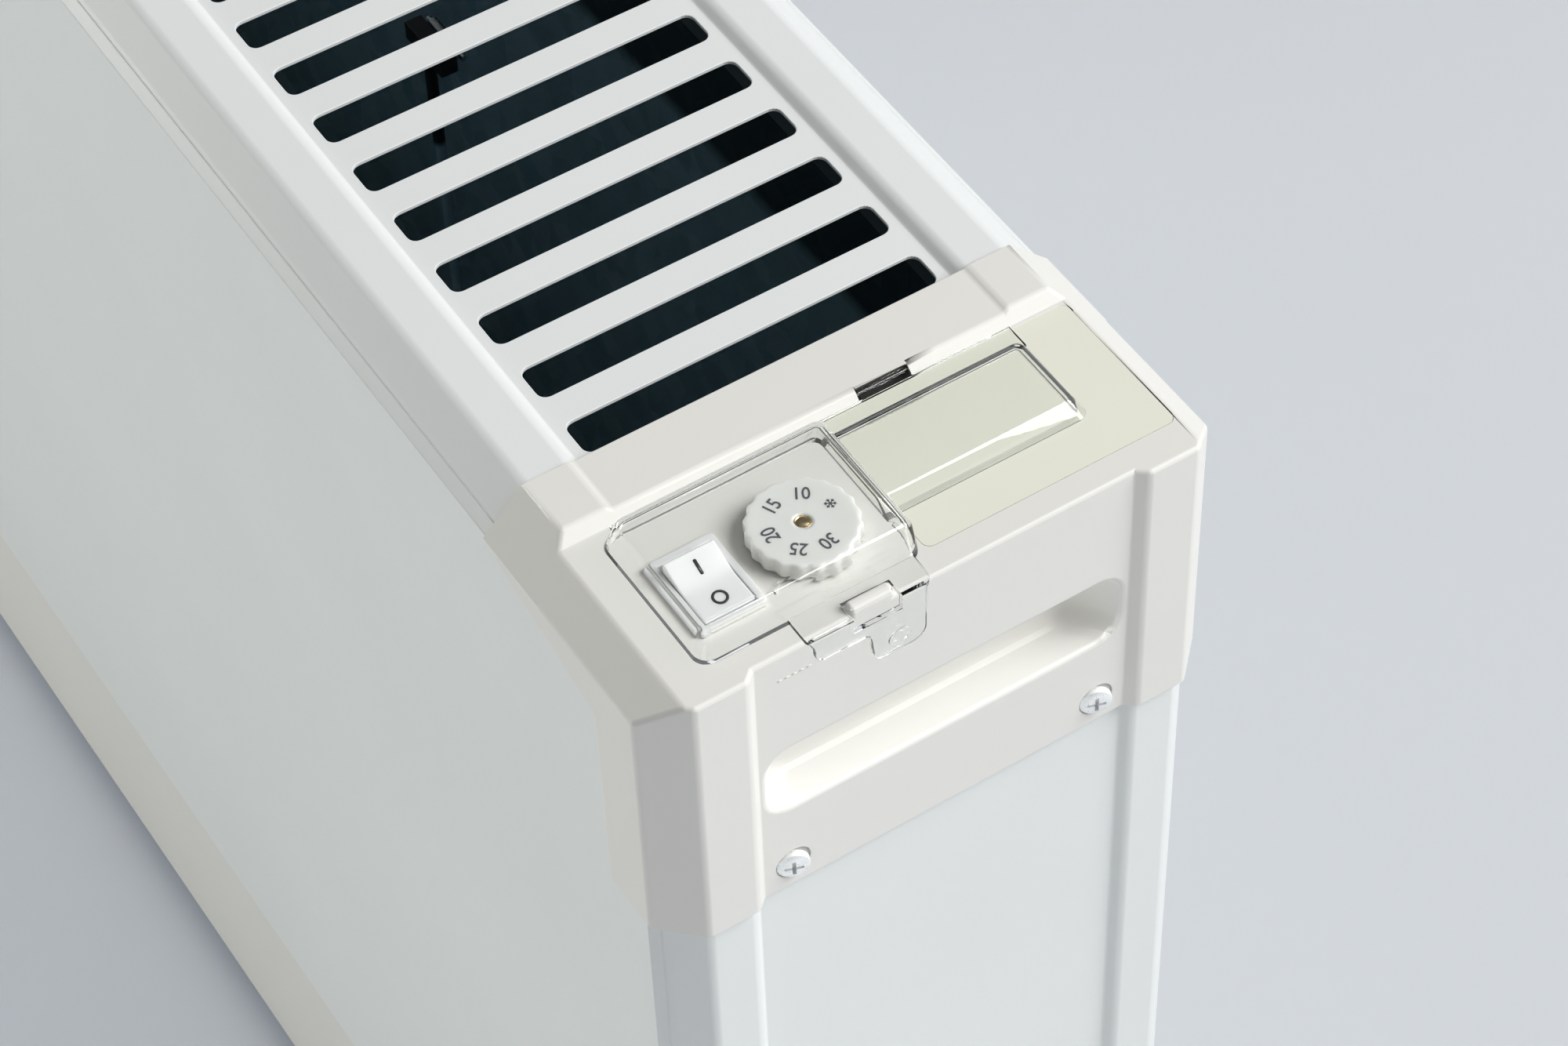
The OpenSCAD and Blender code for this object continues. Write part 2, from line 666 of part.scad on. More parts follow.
module bulb_clips() {
    color([0.75, 0.76, 0.78]) for (z = [bulb_low + 6, bulb_low + bulb_length - 16]) difference() {
        box([partition_x + sheet, bulb_y - 7, z], [bulb_x + 5, bulb_y + 7, z + 8]);
        rod([bulb_x, bulb_y, z - 1], 3 + 0.1, 10);
        box([partition_x + sheet + 2, bulb_y - 5, z - 1], [bulb_x - 5, bulb_y + 8, z + 9]);
    }
}

module at_switch() {
    at_end(1) translate([-control_inset, -switch_offset, 0]) children();
}
module switch_housing() {
    x = switch_hole_x / 2;
    y = switch_hole_y / 2;
    w = switch_wall;
    color([0.9, 0.9, 0.88]) at_switch() difference() {
        union() {
            translate([0, 0, deck]) linear_extrude(switch_rim)
                polygon(rounded(2 * (x + w + 0.9), 2 * (y + w + 0.6), 1));
            box([-x - w, -y - w, deck - switch_depth], [x + w, y + w, deck + cut]);
        }
        box([-x, -y, deck - switch_depth + 3], [x, y, deck + 3]);
        rod([0, -y - w - 1, pivot_z], trunnion + run_clearance, 2 * (y + w + 1), "y");
    }
}
module switch_rocker() {
    half = rocker_length / 2;
    color([0.95, 0.95, 0.94]) at_switch() translate([0, 0, pivot_z]) rotate([0, rocker_tilt, 0]) {
        along_y(-rocker_width / 2, rocker_width / 2) polygon([[-half, rocker_end], [0, valley],
            [half, rocker_end], [half, 0.5], [4, -3.2], [-4, -3.2], [-half, 0.5]]);
        rod([0, -switch_out_y + 0.2, 0], trunnion, 2 * switch_out_y - 0.4, "y");
    }
}
module switch_terminals() {
    color([0.8, 0.8, 0.78]) at_switch() for (x = [-5, 1], y = [-3.5, 3.5])
        box([x - 0.4, y - 2, deck - switch_depth - 6.3], [x + 0.4, y + 2, deck - switch_depth]);
}

module cap_screw_pair(side) {
    color([0.75, 0.77, 0.8]) at_end(side) for (y = [-1, 1] * screw_half)
        translate([-cap_middle - 0.5, y, -screw_drop]) rotate([0, 90, 0]) difference() {
            union() {
                intersection() {
                    cylinder(r = 3.7, h = 2.2);
                    translate([0, 0, -4.6]) sphere(r = 6.8);
                }
                translate([0, 0, -8]) cylinder(r = 1.6, h = 8 + cut);
            }
            for (a = [0, 90]) rotate([0, 0, a]) box([-2, -0.4, 1.1], [2, 0.4, 3]);
        }
}
module control_cap_screws() {
    cap_screw_pair(1);
}
module plain_cap_screws() {
    cap_screw_pair(-1);
}

// Plan of the plinth, set back from the panels
plinth_half = case_half - 0.3;
function plinth_outline(inward) = let (x = half_length - cap_end_proud - inward, y = plinth_half - inward,
    c = corner_chamfer + 2 - 0.6 * inward)
    [[-x + c, -y], [x - c, -y], [x, -y + c], [x, y - c], [x - c, y], [-x + c, y], [-x, y - c], [-x, -y + c]];
foot_x = half_length - foot_inset;
foot_y = plinth_half - 20;
// Depth of the sink for a foot's screw, and the length of the screw in the plinth
foot_sink = 3;
foot_grip = 10;
module each_foot() {
    for (x = [-1, 1] * foot_x, y = [-1, 1] * foot_y) translate([x, y, 0]) children();
}
module plinth() {
    ledge = 12;
    color(plastic_white) difference() {
        union() {
            translate([0, 0, foot_height]) linear_extrude(plinth_height) difference() {
                polygon(plinth_outline(0));
                polygon(plinth_outline(plinth_wall));
            }
            translate([0, 0, plinth_top - plinth_wall]) linear_extrude(plinth_wall) difference() {
                polygon(plinth_outline(plinth_wall - cut));
                polygon(plinth_outline(plinth_wall + ledge));
            }
            // Floor of each corner, with the boss of its foot
            for (x = [-1, 1] * foot_x, y = [-1, 1])
                mirror([0, y > 0 ? 0 : 1, 0])
                    box([x - foot_diameter / 2 - 2, foot_y - 16, foot_height],
                        [x + foot_diameter / 2 + 2, plinth_half - plinth_wall + cut,
                        foot_height + plinth_wall]);
            each_foot() rod([0, 0, foot_height + cut], foot_screw / 2 + 2.5, 18);
            for (x = [-1, 1] * screw_x, y = [-1, 1] * rail_screw_y)
                rod([x, y, plinth_top - 20], 5, 20 - plinth_wall + cut);
        }
        each_foot() rod([0, 0, foot_height - 1], foot_screw / 2 + 0.1, 16);
        rod([half_length - inlet_inset, plinth_half - plinth_wall - 1, inlet_z],
            gland_radius + 0.2, plinth_wall + 2, "y");
        for (x = [-1, 1] * screw_x, y = [-1, 1] * rail_screw_y)
            rod([x, y, plinth_top - 15], 1.7, 16);
    }
}
screw_x = half_length - 100;
rail_screw_y = plinth_half - plinth_wall - 7;
inlet_z = foot_height + plinth_height / 2;
gland_radius = inlet_bore / 2 + 3;

module intake_plate() {
    x = half_length - cap_end_proud - plinth_wall - 4;
    y = plinth_half - plinth_wall - 2;
    count = floor((2 * x - 60) / intake_pitch);
    color([0.7, 0.72, 0.74]) difference() {
        box([-x, -y, plinth_top], [x, y, plinth_top + sheet]);
        for (i = [0:count - 1]) translate([(i - (count - 1) / 2) * intake_pitch, 0, plinth_top - 1])
            linear_extrude(sheet + 2) polygon(rounded(intake_slot, 2 * y - 44, 3));
        for (sx = [-1, 1] * screw_x, sy = [-1, 1] * rail_screw_y)
            rod([sx, sy, plinth_top - 1], 2, 4);
    }
}
// Rails are angles: outer face, width of each leg and inner edge
rail_outer = case_half - sheet - seat_gap;
rail_leg = 16;
rail_inner = rail_outer - rail_leg;
module lower_rails() {
    y = rail_outer;
    x = half_length - panel_side - flange_drop - 2;
    color([0.7, 0.72, 0.74]) for (side = [0, 1]) mirror([0, side, 0]) difference() {
        along_x(-x, x) polygon(bent_sheet([[-y, plinth_top + sheet + rail_leg], [-y, plinth_top + sheet],
            [-y + rail_leg, plinth_top + sheet]], sheet));
        for (sx = [-1, 1] * screw_x) rod([sx, -rail_screw_y, plinth_top], 2, 4);
    }
}
module plinth_screws() {
    color([0.75, 0.77, 0.8]) for (x = [-1, 1] * screw_x, y = [-1, 1] * rail_screw_y) {
        rod([x, y, plinth_top - 12], 1.6, 12 + 2 * sheet + cut);
        rod([x, y, plinth_top + 2 * sheet], 3.2, 2);
    }
}
module panel_screws() {
    color([0.75, 0.77, 0.8]) for (x = [-1, 1] * (half_length - panel_side - flange_drop / 2)) {
        rod([x, case_half - sheet - 5, panel_screw_z], 1.6, 5 + sheet + seat_gap + panel_sheet + cut, "y");
        rod([x, panel_outer, panel_screw_z], 3.2, 0.8, "y");
    }
}
module rubber_feet() {
    color([0.15, 0.15, 0.15]) each_foot() difference() {
        cylinder(r1 = foot_diameter / 2 - 1, r2 = foot_diameter / 2, h = foot_height);
        rod([0, 0, -1], foot_screw / 2 + 0.1, foot_height + 2);
        rod([0, 0, -1], foot_screw + seat_gap, foot_sink + 1);
    }
}
module foot_screws() {
    color([0.75, 0.77, 0.8]) each_foot() {
        rod([0, 0, foot_sink - 1], foot_screw / 2, foot_height + foot_grip + 1);
        rod([0, 0, 0.8], foot_screw, foot_sink - 0.8);
    }
}

// Upright plate between the heater and the space under a cap
module partition() {
    low = plinth_top + sheet;
    over_rail = low + sheet + seat_gap;
    high = grille_height - 3 * sheet - 1;
    wide = shield_y + 4;
    between = rail_inner - seat_gap;
    color([0.72, 0.74, 0.76]) difference() {
        union() {
            box([partition_x, -wide, over_rail], [partition_x + sheet, wide, high]);
            box([partition_x, -between, low], [partition_x + sheet, between, over_rail + cut]);
            box([partition_x, -between, low], [partition_x + 12, between, low + sheet]);
            box([partition_x, -wide + 14, high - sheet], [partition_x + 8, wide - 14, high]);
        }
        for (y = [-1, 1] * tube_spacing / 2)
            rod([partition_x - 1, y, tube_height], bush_radius + 0.1, 3 * sheet + 1, "x");
    }
}
module right_partition() {
    partition();
}
module left_partition() {
    mirror([1, 0, 0]) partition();
}
module heater_tube() {
    leg = partition_x + 14;
    bend = tube_spacing / 2;
    color([0.55, 0.53, 0.5]) {
        for (y = [-1, 1] * bend) rod([-leg, y, tube_height], tube_diameter / 2, 2 * leg, "x");
        translate([-leg, 0, tube_height]) rotate([0, 0, 90]) rotate_extrude(angle = 180)
            translate([bend, 0]) circle(tube_diameter / 2);
    }
}
module heater_fins() {
    color([0.75, 0.76, 0.78]) for (i = [0:fin_count - 1]) let (x = (i - (fin_count - 1) / 2) * fin_pitch)
        difference() {
            box([x - fin_sheet / 2, -fin_depth / 2, tube_height - fin_height / 2],
                [x + fin_sheet / 2, fin_depth / 2, tube_height + fin_height / 2]);
            for (y = [-1, 1] * tube_spacing / 2)
                rod([x - 1, y, tube_height], tube_diameter / 2 + 0.05, 2, "x");
        }
}
module heater_bushings() {
    color([0.93, 0.92, 0.88]) for (side = [-1, 1], y = [-1, 1] * tube_spacing / 2)
        difference() {
            union() {
                rod([side > 0 ? partition_x - 2 : -partition_x - 5, y, tube_height], bush_radius, 7, "x");
                rod([side > 0 ? partition_x + sheet : -partition_x - sheet - 3, y, tube_height],
                    bush_radius + 3, 3, "x");
            }
            rod([side * partition_x - 10, y, tube_height], tube_diameter / 2 + 0.1, 20, "x");
        }
}
module heater_terminals() {
    color([0.8, 0.8, 0.78]) for (y = [-1, 1] * tube_spacing / 2) {
        rod([partition_x + 14, y, tube_height], 1.5, 7, "x");
        box([partition_x + 20, y - 0.4, tube_height - 3.2], [partition_x + 27, y + 0.4, tube_height + 3.2]);
    }
}
module heat_shield(side) {
    y = shield_y;
    x = partition_x - seat_gap;
    color([0.78, 0.79, 0.8]) mirror([0, side, 0]) along_x(-x, x)
        polygon(bent_sheet([[-y - 6, shield_low - 3], [-y, shield_low + 3],
            [-y, shield_high - 6], [-y - 6, shield_high]], -sheet));
}
module front_heat_shield() {
    heat_shield(0);
}
module rear_heat_shield() {
    heat_shield(1);
}
// Black strap across the duct that steadies the tube, with a stem that holds the overheat link
support_top = tube_height + 32;
link_y = 13;
link_z = grille_height - 52;
link_length = 17;
link_radius = 1.6;
module tube_support() {
    y = shield_y - sheet - seat_gap;
    color([0.1, 0.1, 0.1]) difference() {
        union() {
            rod([support_x, link_y, support_top - 1], 1.5, link_z - support_top + 2);
            box([support_x - 6, link_y - 2.5, link_z], [support_x + link_length - 6, link_y + 2, link_z + 5]);
            box([support_x - 1, -y, tube_height - 30], [support_x + 1, y, support_top]);
            for (side = [0, 1]) mirror([0, side, 0])
                box([support_x - 1, -y, support_top - 22], [support_x + 11, -y + 1.5, support_top]);
        }
        for (y2 = [-1, 1] * tube_spacing / 2)
            rod([support_x - 2, y2, tube_height], tube_diameter / 2 + 0.1, 4, "x");
    }
}
module support_screws() {
    y = shield_y - sheet - seat_gap - 1.5;
    color([0.75, 0.77, 0.8]) for (side = [0, 1]) mirror([0, side, 0])
        rod([support_x + 6, -y, support_top - 8], 3, 1.8, "y");
}
cutout_z = tube_height + 110;
// Distance from a partition to the wires on the cut-out's tabs
tab_reach = 16.4;
// Shiny capsule that lies against its holder
module overheat_link() {
    color([0.78, 0.8, 0.82]) translate([support_x - 4, link_y + 2 + seat_gap + link_radius, link_z + 3]) {
        rod([0, 0, 0], link_radius, link_length - 4, "x");
        rod([-2, 0, 0], link_radius / 2, link_length, "x");
    }
}
module thermal_cutout() {
    x = partition_x + sheet;
    color([0.75, 0.74, 0.7]) translate([x, -30, cutout_z]) {
        box([0, -14, -6], [1, 14, 6]);
        rod([1 - cut, 0, 0], 8, 7, "x");
        for (y = [-5, 5]) box([8 - cut, y - 0.4, -3], [15, y + 0.4, 3]);
    }
}
module terminal_block() {
    x = partition_x + sheet;
    color([0.85, 0.83, 0.78]) difference() {
        box([x, 16, plinth_top + 24], [x + 16, 50, plinth_top + 42]);
        for (y = [21, 33, 45]) {
            rod([x + 8, y, plinth_top + 20], 2, 30);
            rod([x + 8, y, plinth_top + 33], 2, 10, "x");
        }
    }
}
module earth_stud() {
    x = partition_x + sheet;
    color([0.78, 0.76, 0.5]) {
        rod([x, -34, plinth_top + 34], 2, 12, "x");
        translate([x, -34, plinth_top + 34]) rotate([0, 90, 0]) cylinder(r = 4, h = 3, $fn = 6);
    }
}
gland_length = 16;
module cord_gland() {
    y = plinth_half;
    color([0.15, 0.15, 0.15]) difference() {
        union() {
            rod([half_length - inlet_inset, y - gland_length + 2, inlet_z], gland_radius, gland_length, "y");
            rod([half_length - inlet_inset, y, inlet_z], gland_radius + 2.5,
                cap_half - plinth_half - 0.2, "y");
        }
        rod([half_length - inlet_inset, y - gland_length - 1, inlet_z], inlet_bore / 2,
            gland_length + 12, "y");
    }
}
module gland_nut() {
    color([0.2, 0.2, 0.2]) translate([half_length - inlet_inset, plinth_half - plinth_wall - 5, inlet_z])
        rotate([-90, 0, 0]) difference() {
            cylinder(r = gland_radius + 4, h = 5, $fn = 6);
            translate([0, 0, -1]) cylinder(r = gland_radius + 0.05, h = 7);
        }
}
// Wires: inlet terminals to the switch, switch to thermostat, thermostat to cut-out and heater
module wiring() {
    r = 1.2;
    x = partition_x + sheet;
    block_top = plinth_top + 42;
    stud = plinth_top + 36;
    switch_low = grille_height + deck - switch_depth - 6.3;
    body_low = grille_height + deck - cap_wall - thermostat_height;
    sx = half_length - control_inset;
    sy = -switch_offset;
    leg = tube_spacing / 2;
    tag = tube_height + 3.2;
    color([0.45, 0.3, 0.2])
        run([[x + 8, 45, block_top - 1], [x + 8, 45, block_top + 20], [x + 10, 52, switch_low - 60],
            [sx - 5, sy + 20, switch_low - 30], [sx - 5, sy + 3.5, switch_low - 12],
            [sx - 5, sy + 3.5, switch_low]], r);
    color([0.1, 0.1, 0.1])
        run([[sx + 1, sy + 3.5, switch_low], [sx + 1, sy + 3.5, switch_low - 12],
            [sx - 1, sy + 14, switch_low - 16], [sx - 1, -dial_offset - 4, body_low - 12],
            [sx - 1, -dial_offset - 4, body_low]], r);
    color([0.1, 0.1, 0.1])
        run([[sx - 8, -dial_offset - 2, body_low], [sx - 8, -dial_offset - 2, body_low - 20],
            [x + 20, -24, cutout_z + 30], [x + 20, -25, cutout_z + 5], [x + tab_reach, -25, cutout_z]], r);
    color([0.1, 0.1, 0.1])
        run([[x + tab_reach, -35, cutout_z], [x + 21, -35, cutout_z - 10], [x + 22, -leg, tag + 17],
            [x + 22, -leg, tag]], r);
    color([0.2, 0.3, 0.7])
        run([[x + 8, 33, block_top - 1], [x + 8, 33, block_top + 10], [x + 22, leg, tag + 17],
            [x + 22, leg, tag]], r);
    color([0.3, 0.6, 0.2])
        run([[x + 8, 21, block_top - 1], [x + 8, 21, block_top + 6], [x + 8, -10, block_top + 6],
            [x + 8, -34, stud + 6], [x + 8, -34, stud]], r);
}

top_grille();
front_panel();
rear_panel();
right_end_panel();
left_end_panel();
plinth();
intake_plate();
lower_rails();
control_cap();
plain_cap();
control_cover();
name_plate();
thermostat_dial();
thermostat_spindle();
thermostat_body();
capillary_bulb();
bulb_clips();
switch_housing();
switch_rocker();
switch_terminals();
control_cap_screws();
plain_cap_screws();
right_partition();
left_partition();
heater_tube();
heater_fins();
heater_bushings();
heater_terminals();
front_heat_shield();
rear_heat_shield();
tube_support();
support_screws();
overheat_link();
thermal_cutout();
terminal_block();
earth_stud();
cord_gland();
gland_nut();
wiring();
rubber_feet();
foot_screws();
plinth_screws();
panel_screws();
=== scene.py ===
# Looks of the floor convector: painted sheet steel casing, moulded end caps, clear control cover.
import math
import bpy
import bmesh
from mathutils import Matrix, Vector


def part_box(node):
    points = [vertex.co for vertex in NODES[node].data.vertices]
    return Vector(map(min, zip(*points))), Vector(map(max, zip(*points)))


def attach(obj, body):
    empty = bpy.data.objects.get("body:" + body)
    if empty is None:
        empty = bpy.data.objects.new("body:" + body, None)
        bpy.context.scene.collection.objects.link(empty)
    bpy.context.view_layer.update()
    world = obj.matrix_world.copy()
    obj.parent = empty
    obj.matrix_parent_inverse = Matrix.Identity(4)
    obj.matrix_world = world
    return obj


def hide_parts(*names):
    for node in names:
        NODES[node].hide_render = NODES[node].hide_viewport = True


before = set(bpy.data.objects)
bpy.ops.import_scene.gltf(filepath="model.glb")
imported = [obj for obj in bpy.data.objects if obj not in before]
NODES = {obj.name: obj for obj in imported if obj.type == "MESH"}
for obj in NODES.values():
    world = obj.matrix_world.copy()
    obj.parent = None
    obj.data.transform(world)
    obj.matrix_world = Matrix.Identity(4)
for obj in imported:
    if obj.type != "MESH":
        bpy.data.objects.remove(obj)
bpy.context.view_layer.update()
MM = 0.001

# The right end of the casing and the plane of the grille
END = 0.3325
TOP = 0.435
# Millimetres, from the end and above the grille
DECK = 0.7
DIAL_INSET, DIAL_Y = -24.7, -19.1
DIAL_RADIUS, DIAL_HEIGHT = 11.9, 4.0
DIAL_BASE = DECK + 0.6
DIAL_TOP = DIAL_BASE + DIAL_HEIGHT
SWITCH_INSET, SWITCH_Y = -24.7, -41.7
# Insides of the grips and of the hinge slot, in metres, where the caps carry painted light and painted shade
GRIP_X, GRIP_Y, GRIP_Z = (0.30, END - 0.0026), (-0.0445, 0.0445), (TOP - 0.0535, TOP - 0.0285)
HINGE_X, HINGE_Y, HINGE_Z = (END - 0.0513, END - 0.0478), (0.0101, 0.0229), (TOP - 0.004, TOP + 0.0021)


def at(x, y, z, side=1):
    """A place at one end of the casing, in millimetres from the end and above the grille."""
    return Vector((side * (END + x * MM), y * MM, TOP + z * MM))


# Materials

def shader(name):
    """A new material with its node tree, its shader and its output."""
    material = bpy.data.materials.new(name)
    material.use_nodes = True
    tree = material.node_tree
    return material, tree, tree.nodes["Principled BSDF"], tree.nodes["Material Output"]


def object_place(tree):
    return tree.nodes.new("ShaderNodeTexCoord").outputs["Object"]


def feed(tree, node, inputs):
    """Fills a node's inputs: another node's socket is linked, anything else is a plain value."""
    for name, value in inputs.items():
        if isinstance(value, bpy.types.NodeSocket):
            tree.links.new(value, node.inputs[name])
        else:
            node.inputs[name].default_value = value
    return node


def added(tree, kind, inputs, **settings):
    """A new node with its settings made and its inputs filled."""
    node = tree.nodes.new(kind)
    for name, value in settings.items():
        setattr(node, name, value)
    return feed(tree, node, inputs)


def object_axes(tree):
    """The X, Y and Z of a place on a piece."""
    parts = added(tree, "ShaderNodeSeparateXYZ", {"Vector": object_place(tree)})
    return [parts.outputs[axis] for axis in "XYZ"]


def noise(tree, scale, detail, stretch=(1, 1, 1)):
    """Soft noise that stays with the piece."""
    place = added(tree, "ShaderNodeMapping", {"Scale": stretch, "Vector": object_place(tree)})
    grain = {"Scale": scale, "Detail": detail, "Vector": place.outputs["Vector"]}
    return added(tree, "ShaderNodeTexNoise", grain).outputs["Fac"]


def spread(tree, source, low, high, start=0.3, stop=0.7, soft=False):
    """A number that follows a pattern between two limits."""
    limits = {"From Min": start, "From Max": stop, "To Min": low, "To Max": high, "Value": source}
    way = "SMOOTHSTEP" if soft else "LINEAR"
    return added(tree, "ShaderNodeMapRange", limits, interpolation_type=way).outputs["Result"]


def blend_colour(tree, factor, first, second):
    """A colour between two. The first is a colour or a socket."""
    ends = {"A": (*first, 1) if isinstance(first, tuple) else first, "B": (*second, 1)}
    return added(tree, "ShaderNodeMix", {**ends, "Factor": factor}, data_type="RGBA").outputs["Result"]


def recolour(tree, face, factor, colour):
    """Turns the face's own colour to another where the factor is one."""
    own = face.inputs["Base Color"].links[0].from_socket
    feed(tree, face, {"Base Color": blend_colour(tree, factor, own, colour)})


def either(tree, factor, first, second, target):
    """Leads the first shader to the target where the factor is zero, and the second where it is one."""
    mix = added(tree, "ShaderNodeMixShader", {"Fac": factor, 1: first, 2: second})
    feed(tree, target, {"Surface": mix.outputs["Shader"]})


def bump(tree, height, depth):
    return added(tree, "ShaderNodeBump", {"Distance": depth, "Height": height}).outputs["Normal"]


def shade(colour, by):
    return tuple(min(1.0, c * by) for c in colour)


def finish(name, colour, rough, metal=0.0, cloud=14.0, vary=0.03, grain=900.0, depth=0.00001,
           rough_vary=0.05, stretch=(1, 1, 1), level=0.5):
    """A surface with a slow change of tone, a fine grain and a changing gloss."""
    material, tree, face, _ = shader(name)
    slow = spread(tree, noise(tree, cloud, 3.0), 0, 1)
    fine = noise(tree, grain, 2.0, stretch)
    feed(tree, face, {
        "Base Color": blend_colour(tree, slow, shade(colour, 1 - vary), shade(colour, 1 + vary)),
        "Roughness": spread(tree, fine, rough - rough_vary, rough + rough_vary),
        "Normal": bump(tree, fine, depth), "Metallic": metal, "Specular IOR Level": level})
    return material


def arithmetic(tree, operation, first, second=0.5):
    """One step of arithmetic. The second term is a socket or a number."""
    return added(tree, "ShaderNodeMath", {0: first, 1: second}, operation=operation).outputs["Value"]


def inside(tree, axes, *spans):
    """One inside a box, else zero. Each span is the low and high limit along an axis."""
    result = None
    for axis, (low, high) in zip(axes, spans):
        for operation, limit in (("GREATER_THAN", low), ("LESS_THAN", high)):
            test = arithmetic(tree, operation, axis, limit)
            result = test if result is None else arithmetic(tree, "MULTIPLY", result, test)
    return result


def cap_plastic():
    """Smooth white plastic, with painted light that makes the two grip recesses paler and painted shade that
    makes the hinge slot dark.
    """
    material = finish("cap_plastic", (0.765, 0.755, 0.715), 0.42, grain=2600.0, depth=0.000008, vary=0.01,
                      level=0.32)
    tree = material.node_tree
    face = tree.nodes["Principled BSDF"]
    x, y, z = object_axes(tree)
    both_ends = arithmetic(tree, "ABSOLUTE", x)
    # Painted light: the grip recesses are paler, as if lit by light bouncing inside them
    recolour(tree, face, inside(tree, (both_ends, y, z), GRIP_X, GRIP_Y, GRIP_Z), (0.86, 0.85, 0.81))
    # Painted shade: the hinge slot is dark, standing in for its shadow
    recolour(tree, face, inside(tree, (x, y, z), HINGE_X, HINGE_Y, HINGE_Z), (0.05, 0.05, 0.045))
    return material


def galvanised(name):
    """Hot zinc coat: angular spangles of slightly different tone."""
    material, tree, face, _ = shader(name)
    cells = added(tree, "ShaderNodeTexVoronoi", {"Scale": 110.0, "Vector": object_place(tree)})
    parts = added(tree, "ShaderNodeSeparateColor", {"Color": cells.outputs["Color"]}).outputs
    feed(tree, face, {
        "Base Color": blend_colour(tree, parts["Red"], (0.31, 0.46, 0.52), (0.43, 0.57, 0.63)),
        "Roughness": spread(tree, parts["Green"], 0.32, 0.5, 0, 1),
        "Normal": bump(tree, noise(tree, 700.0, 2.0), 0.00002), "Metallic": 0.9})
    return material


def darkened(name, start, stop, dark):
    """Zinc coated steel that turns to a darker colour between two heights."""
    material = galvanised(name)
    tree = material.node_tree
    face = tree.nodes["Principled BSDF"]
    height = object_axes(tree)[2]
    recolour(tree, face, spread(tree, height, 0.0, 1.0, start, stop), dark)
    face.inputs["Metallic"].default_value = 0.5
    return material


def clear(name):
    """Clear moulded plastic that lets the lamps through to what lies under it."""
    material, tree, face, out = shader(name)
    glass = (0.985, 0.99, 0.985, 1)
    fine = noise(tree, 90.0, 2.0)
    feed(tree, face, {"Base Color": glass, "Transmission Weight": 1.0, "IOR": 1.46,
                      "Roughness": spread(tree, fine, 0.0, 0.02), "Normal": bump(tree, fine, 0.00004)})
    ray = tree.nodes.new("ShaderNodeLightPath").outputs
    through = added(tree, "ShaderNodeBsdfTransparent", {"Color": glass})
    lamp_ray = arithmetic(tree, "MAXIMUM", ray["Is Shadow Ray"], ray["Is Diffuse Ray"])
    either(tree, lamp_ray, face.outputs["BSDF"], through.outputs["BSDF"], out)
    return material


def translucent(name, colour, rough, depth):
    """Moulded plastic that lets a little light in."""
    material, tree, face, _ = shader(name)
    slow = noise(tree, 120.0, 2.0)
    feed(tree, face, {
        "Base Color": blend_colour(tree, spread(tree, slow, 0, 1), shade(colour, 0.97), colour),
        "Roughness": spread(tree, slow, rough - 0.04, rough + 0.04),
        "Subsurface Weight": 0.6, "Subsurface Radius": (1.0, 0.95, 0.85), "Subsurface Scale": depth})
    return material


PAINT = finish("white_paint", (0.765, 0.785, 0.775), 0.4, grain=1400.0, depth=0.000012, vary=0.012,
               level=0.32)
CAP = cap_plastic()
PLINTH = finish("plinth_plastic", (0.74, 0.735, 0.70), 0.45, grain=2600.0, vary=0.012, level=0.32)
CLEAR = clear("clear_plastic")
PLATE = finish("cream_plate", (0.79, 0.79, 0.68), 0.34, grain=3000.0, depth=0.000004, vary=0.012)
DIAL = translucent("dial_plastic", (0.83, 0.83, 0.805), 0.32, 0.002)
SWITCH = translucent("switch_plastic", (0.93, 0.935, 0.93), 0.2, 0.002)
RIM = translucent("switch_rim_plastic", (0.92, 0.92, 0.90), 0.3, 0.003)
INK = finish("grey_ink", (0.075, 0.08, 0.09), 0.5, vary=0.1, grain=3000.0)
BLACK_INK = finish("black_ink", (0.02, 0.02, 0.022), 0.45, vary=0.1, grain=3000.0)
BLACK = finish("black_plastic", (0.022, 0.023, 0.025), 0.42, vary=0.12, grain=1500.0)
STRAP_STEEL = darkened("strap_steel", 0.351, 0.353, (0.018, 0.02, 0.022))
# Painted shade: the rear shield turns dark near its top, standing in for the shade inside the duct
PAINTED_SHADE_STEEL = darkened("steel_painted_shade_top", 0.372, 0.378, (0.055, 0.078, 0.088))
GALVANISED = galvanised("galvanised_steel")
TUBE = finish("tube_steel", (0.30, 0.28, 0.26), 0.38, metal=1.0, cloud=60.0, vary=0.18, grain=600.0,
              stretch=(0.05, 1, 1))
ALUMINIUM = finish("aluminium", (0.72, 0.73, 0.74), 0.3, metal=1.0, vary=0.04, grain=800.0,
                   stretch=(1, 0.05, 1))
BRIGHT_ZINC = finish("bright_zinc", (0.93, 0.945, 0.94), 0.32, metal=0.4, cloud=300.0, vary=0.04,
                     grain=1500.0, rough_vary=0.06)
ZINC = finish("zinc_plate", (0.66, 0.69, 0.70), 0.24, metal=1.0, cloud=300.0, vary=0.08, grain=1500.0,
              rough_vary=0.08)
DARK_BRASS = finish("dark_brass", (0.26, 0.205, 0.12), 0.36, metal=0.85, cloud=900.0, vary=0.25,
                    grain=1600.0)
BRASS = finish("brass", (0.66, 0.50, 0.24), 0.27, metal=1.0, cloud=400.0, vary=0.1, grain=1600.0)
COPPER = finish("copper", (0.70, 0.36, 0.22), 0.3, metal=1.0, cloud=90.0, vary=0.1)
CERAMIC = finish("ceramic", (0.78, 0.76, 0.70), 0.4, grain=1200.0, vary=0.02)
RUBBER = finish("rubber", (0.03, 0.03, 0.032), 0.7, vary=0.15, grain=700.0, depth=0.00004)
TERMINAL = finish("terminal_plastic", (0.62, 0.60, 0.52), 0.45, vary=0.03)
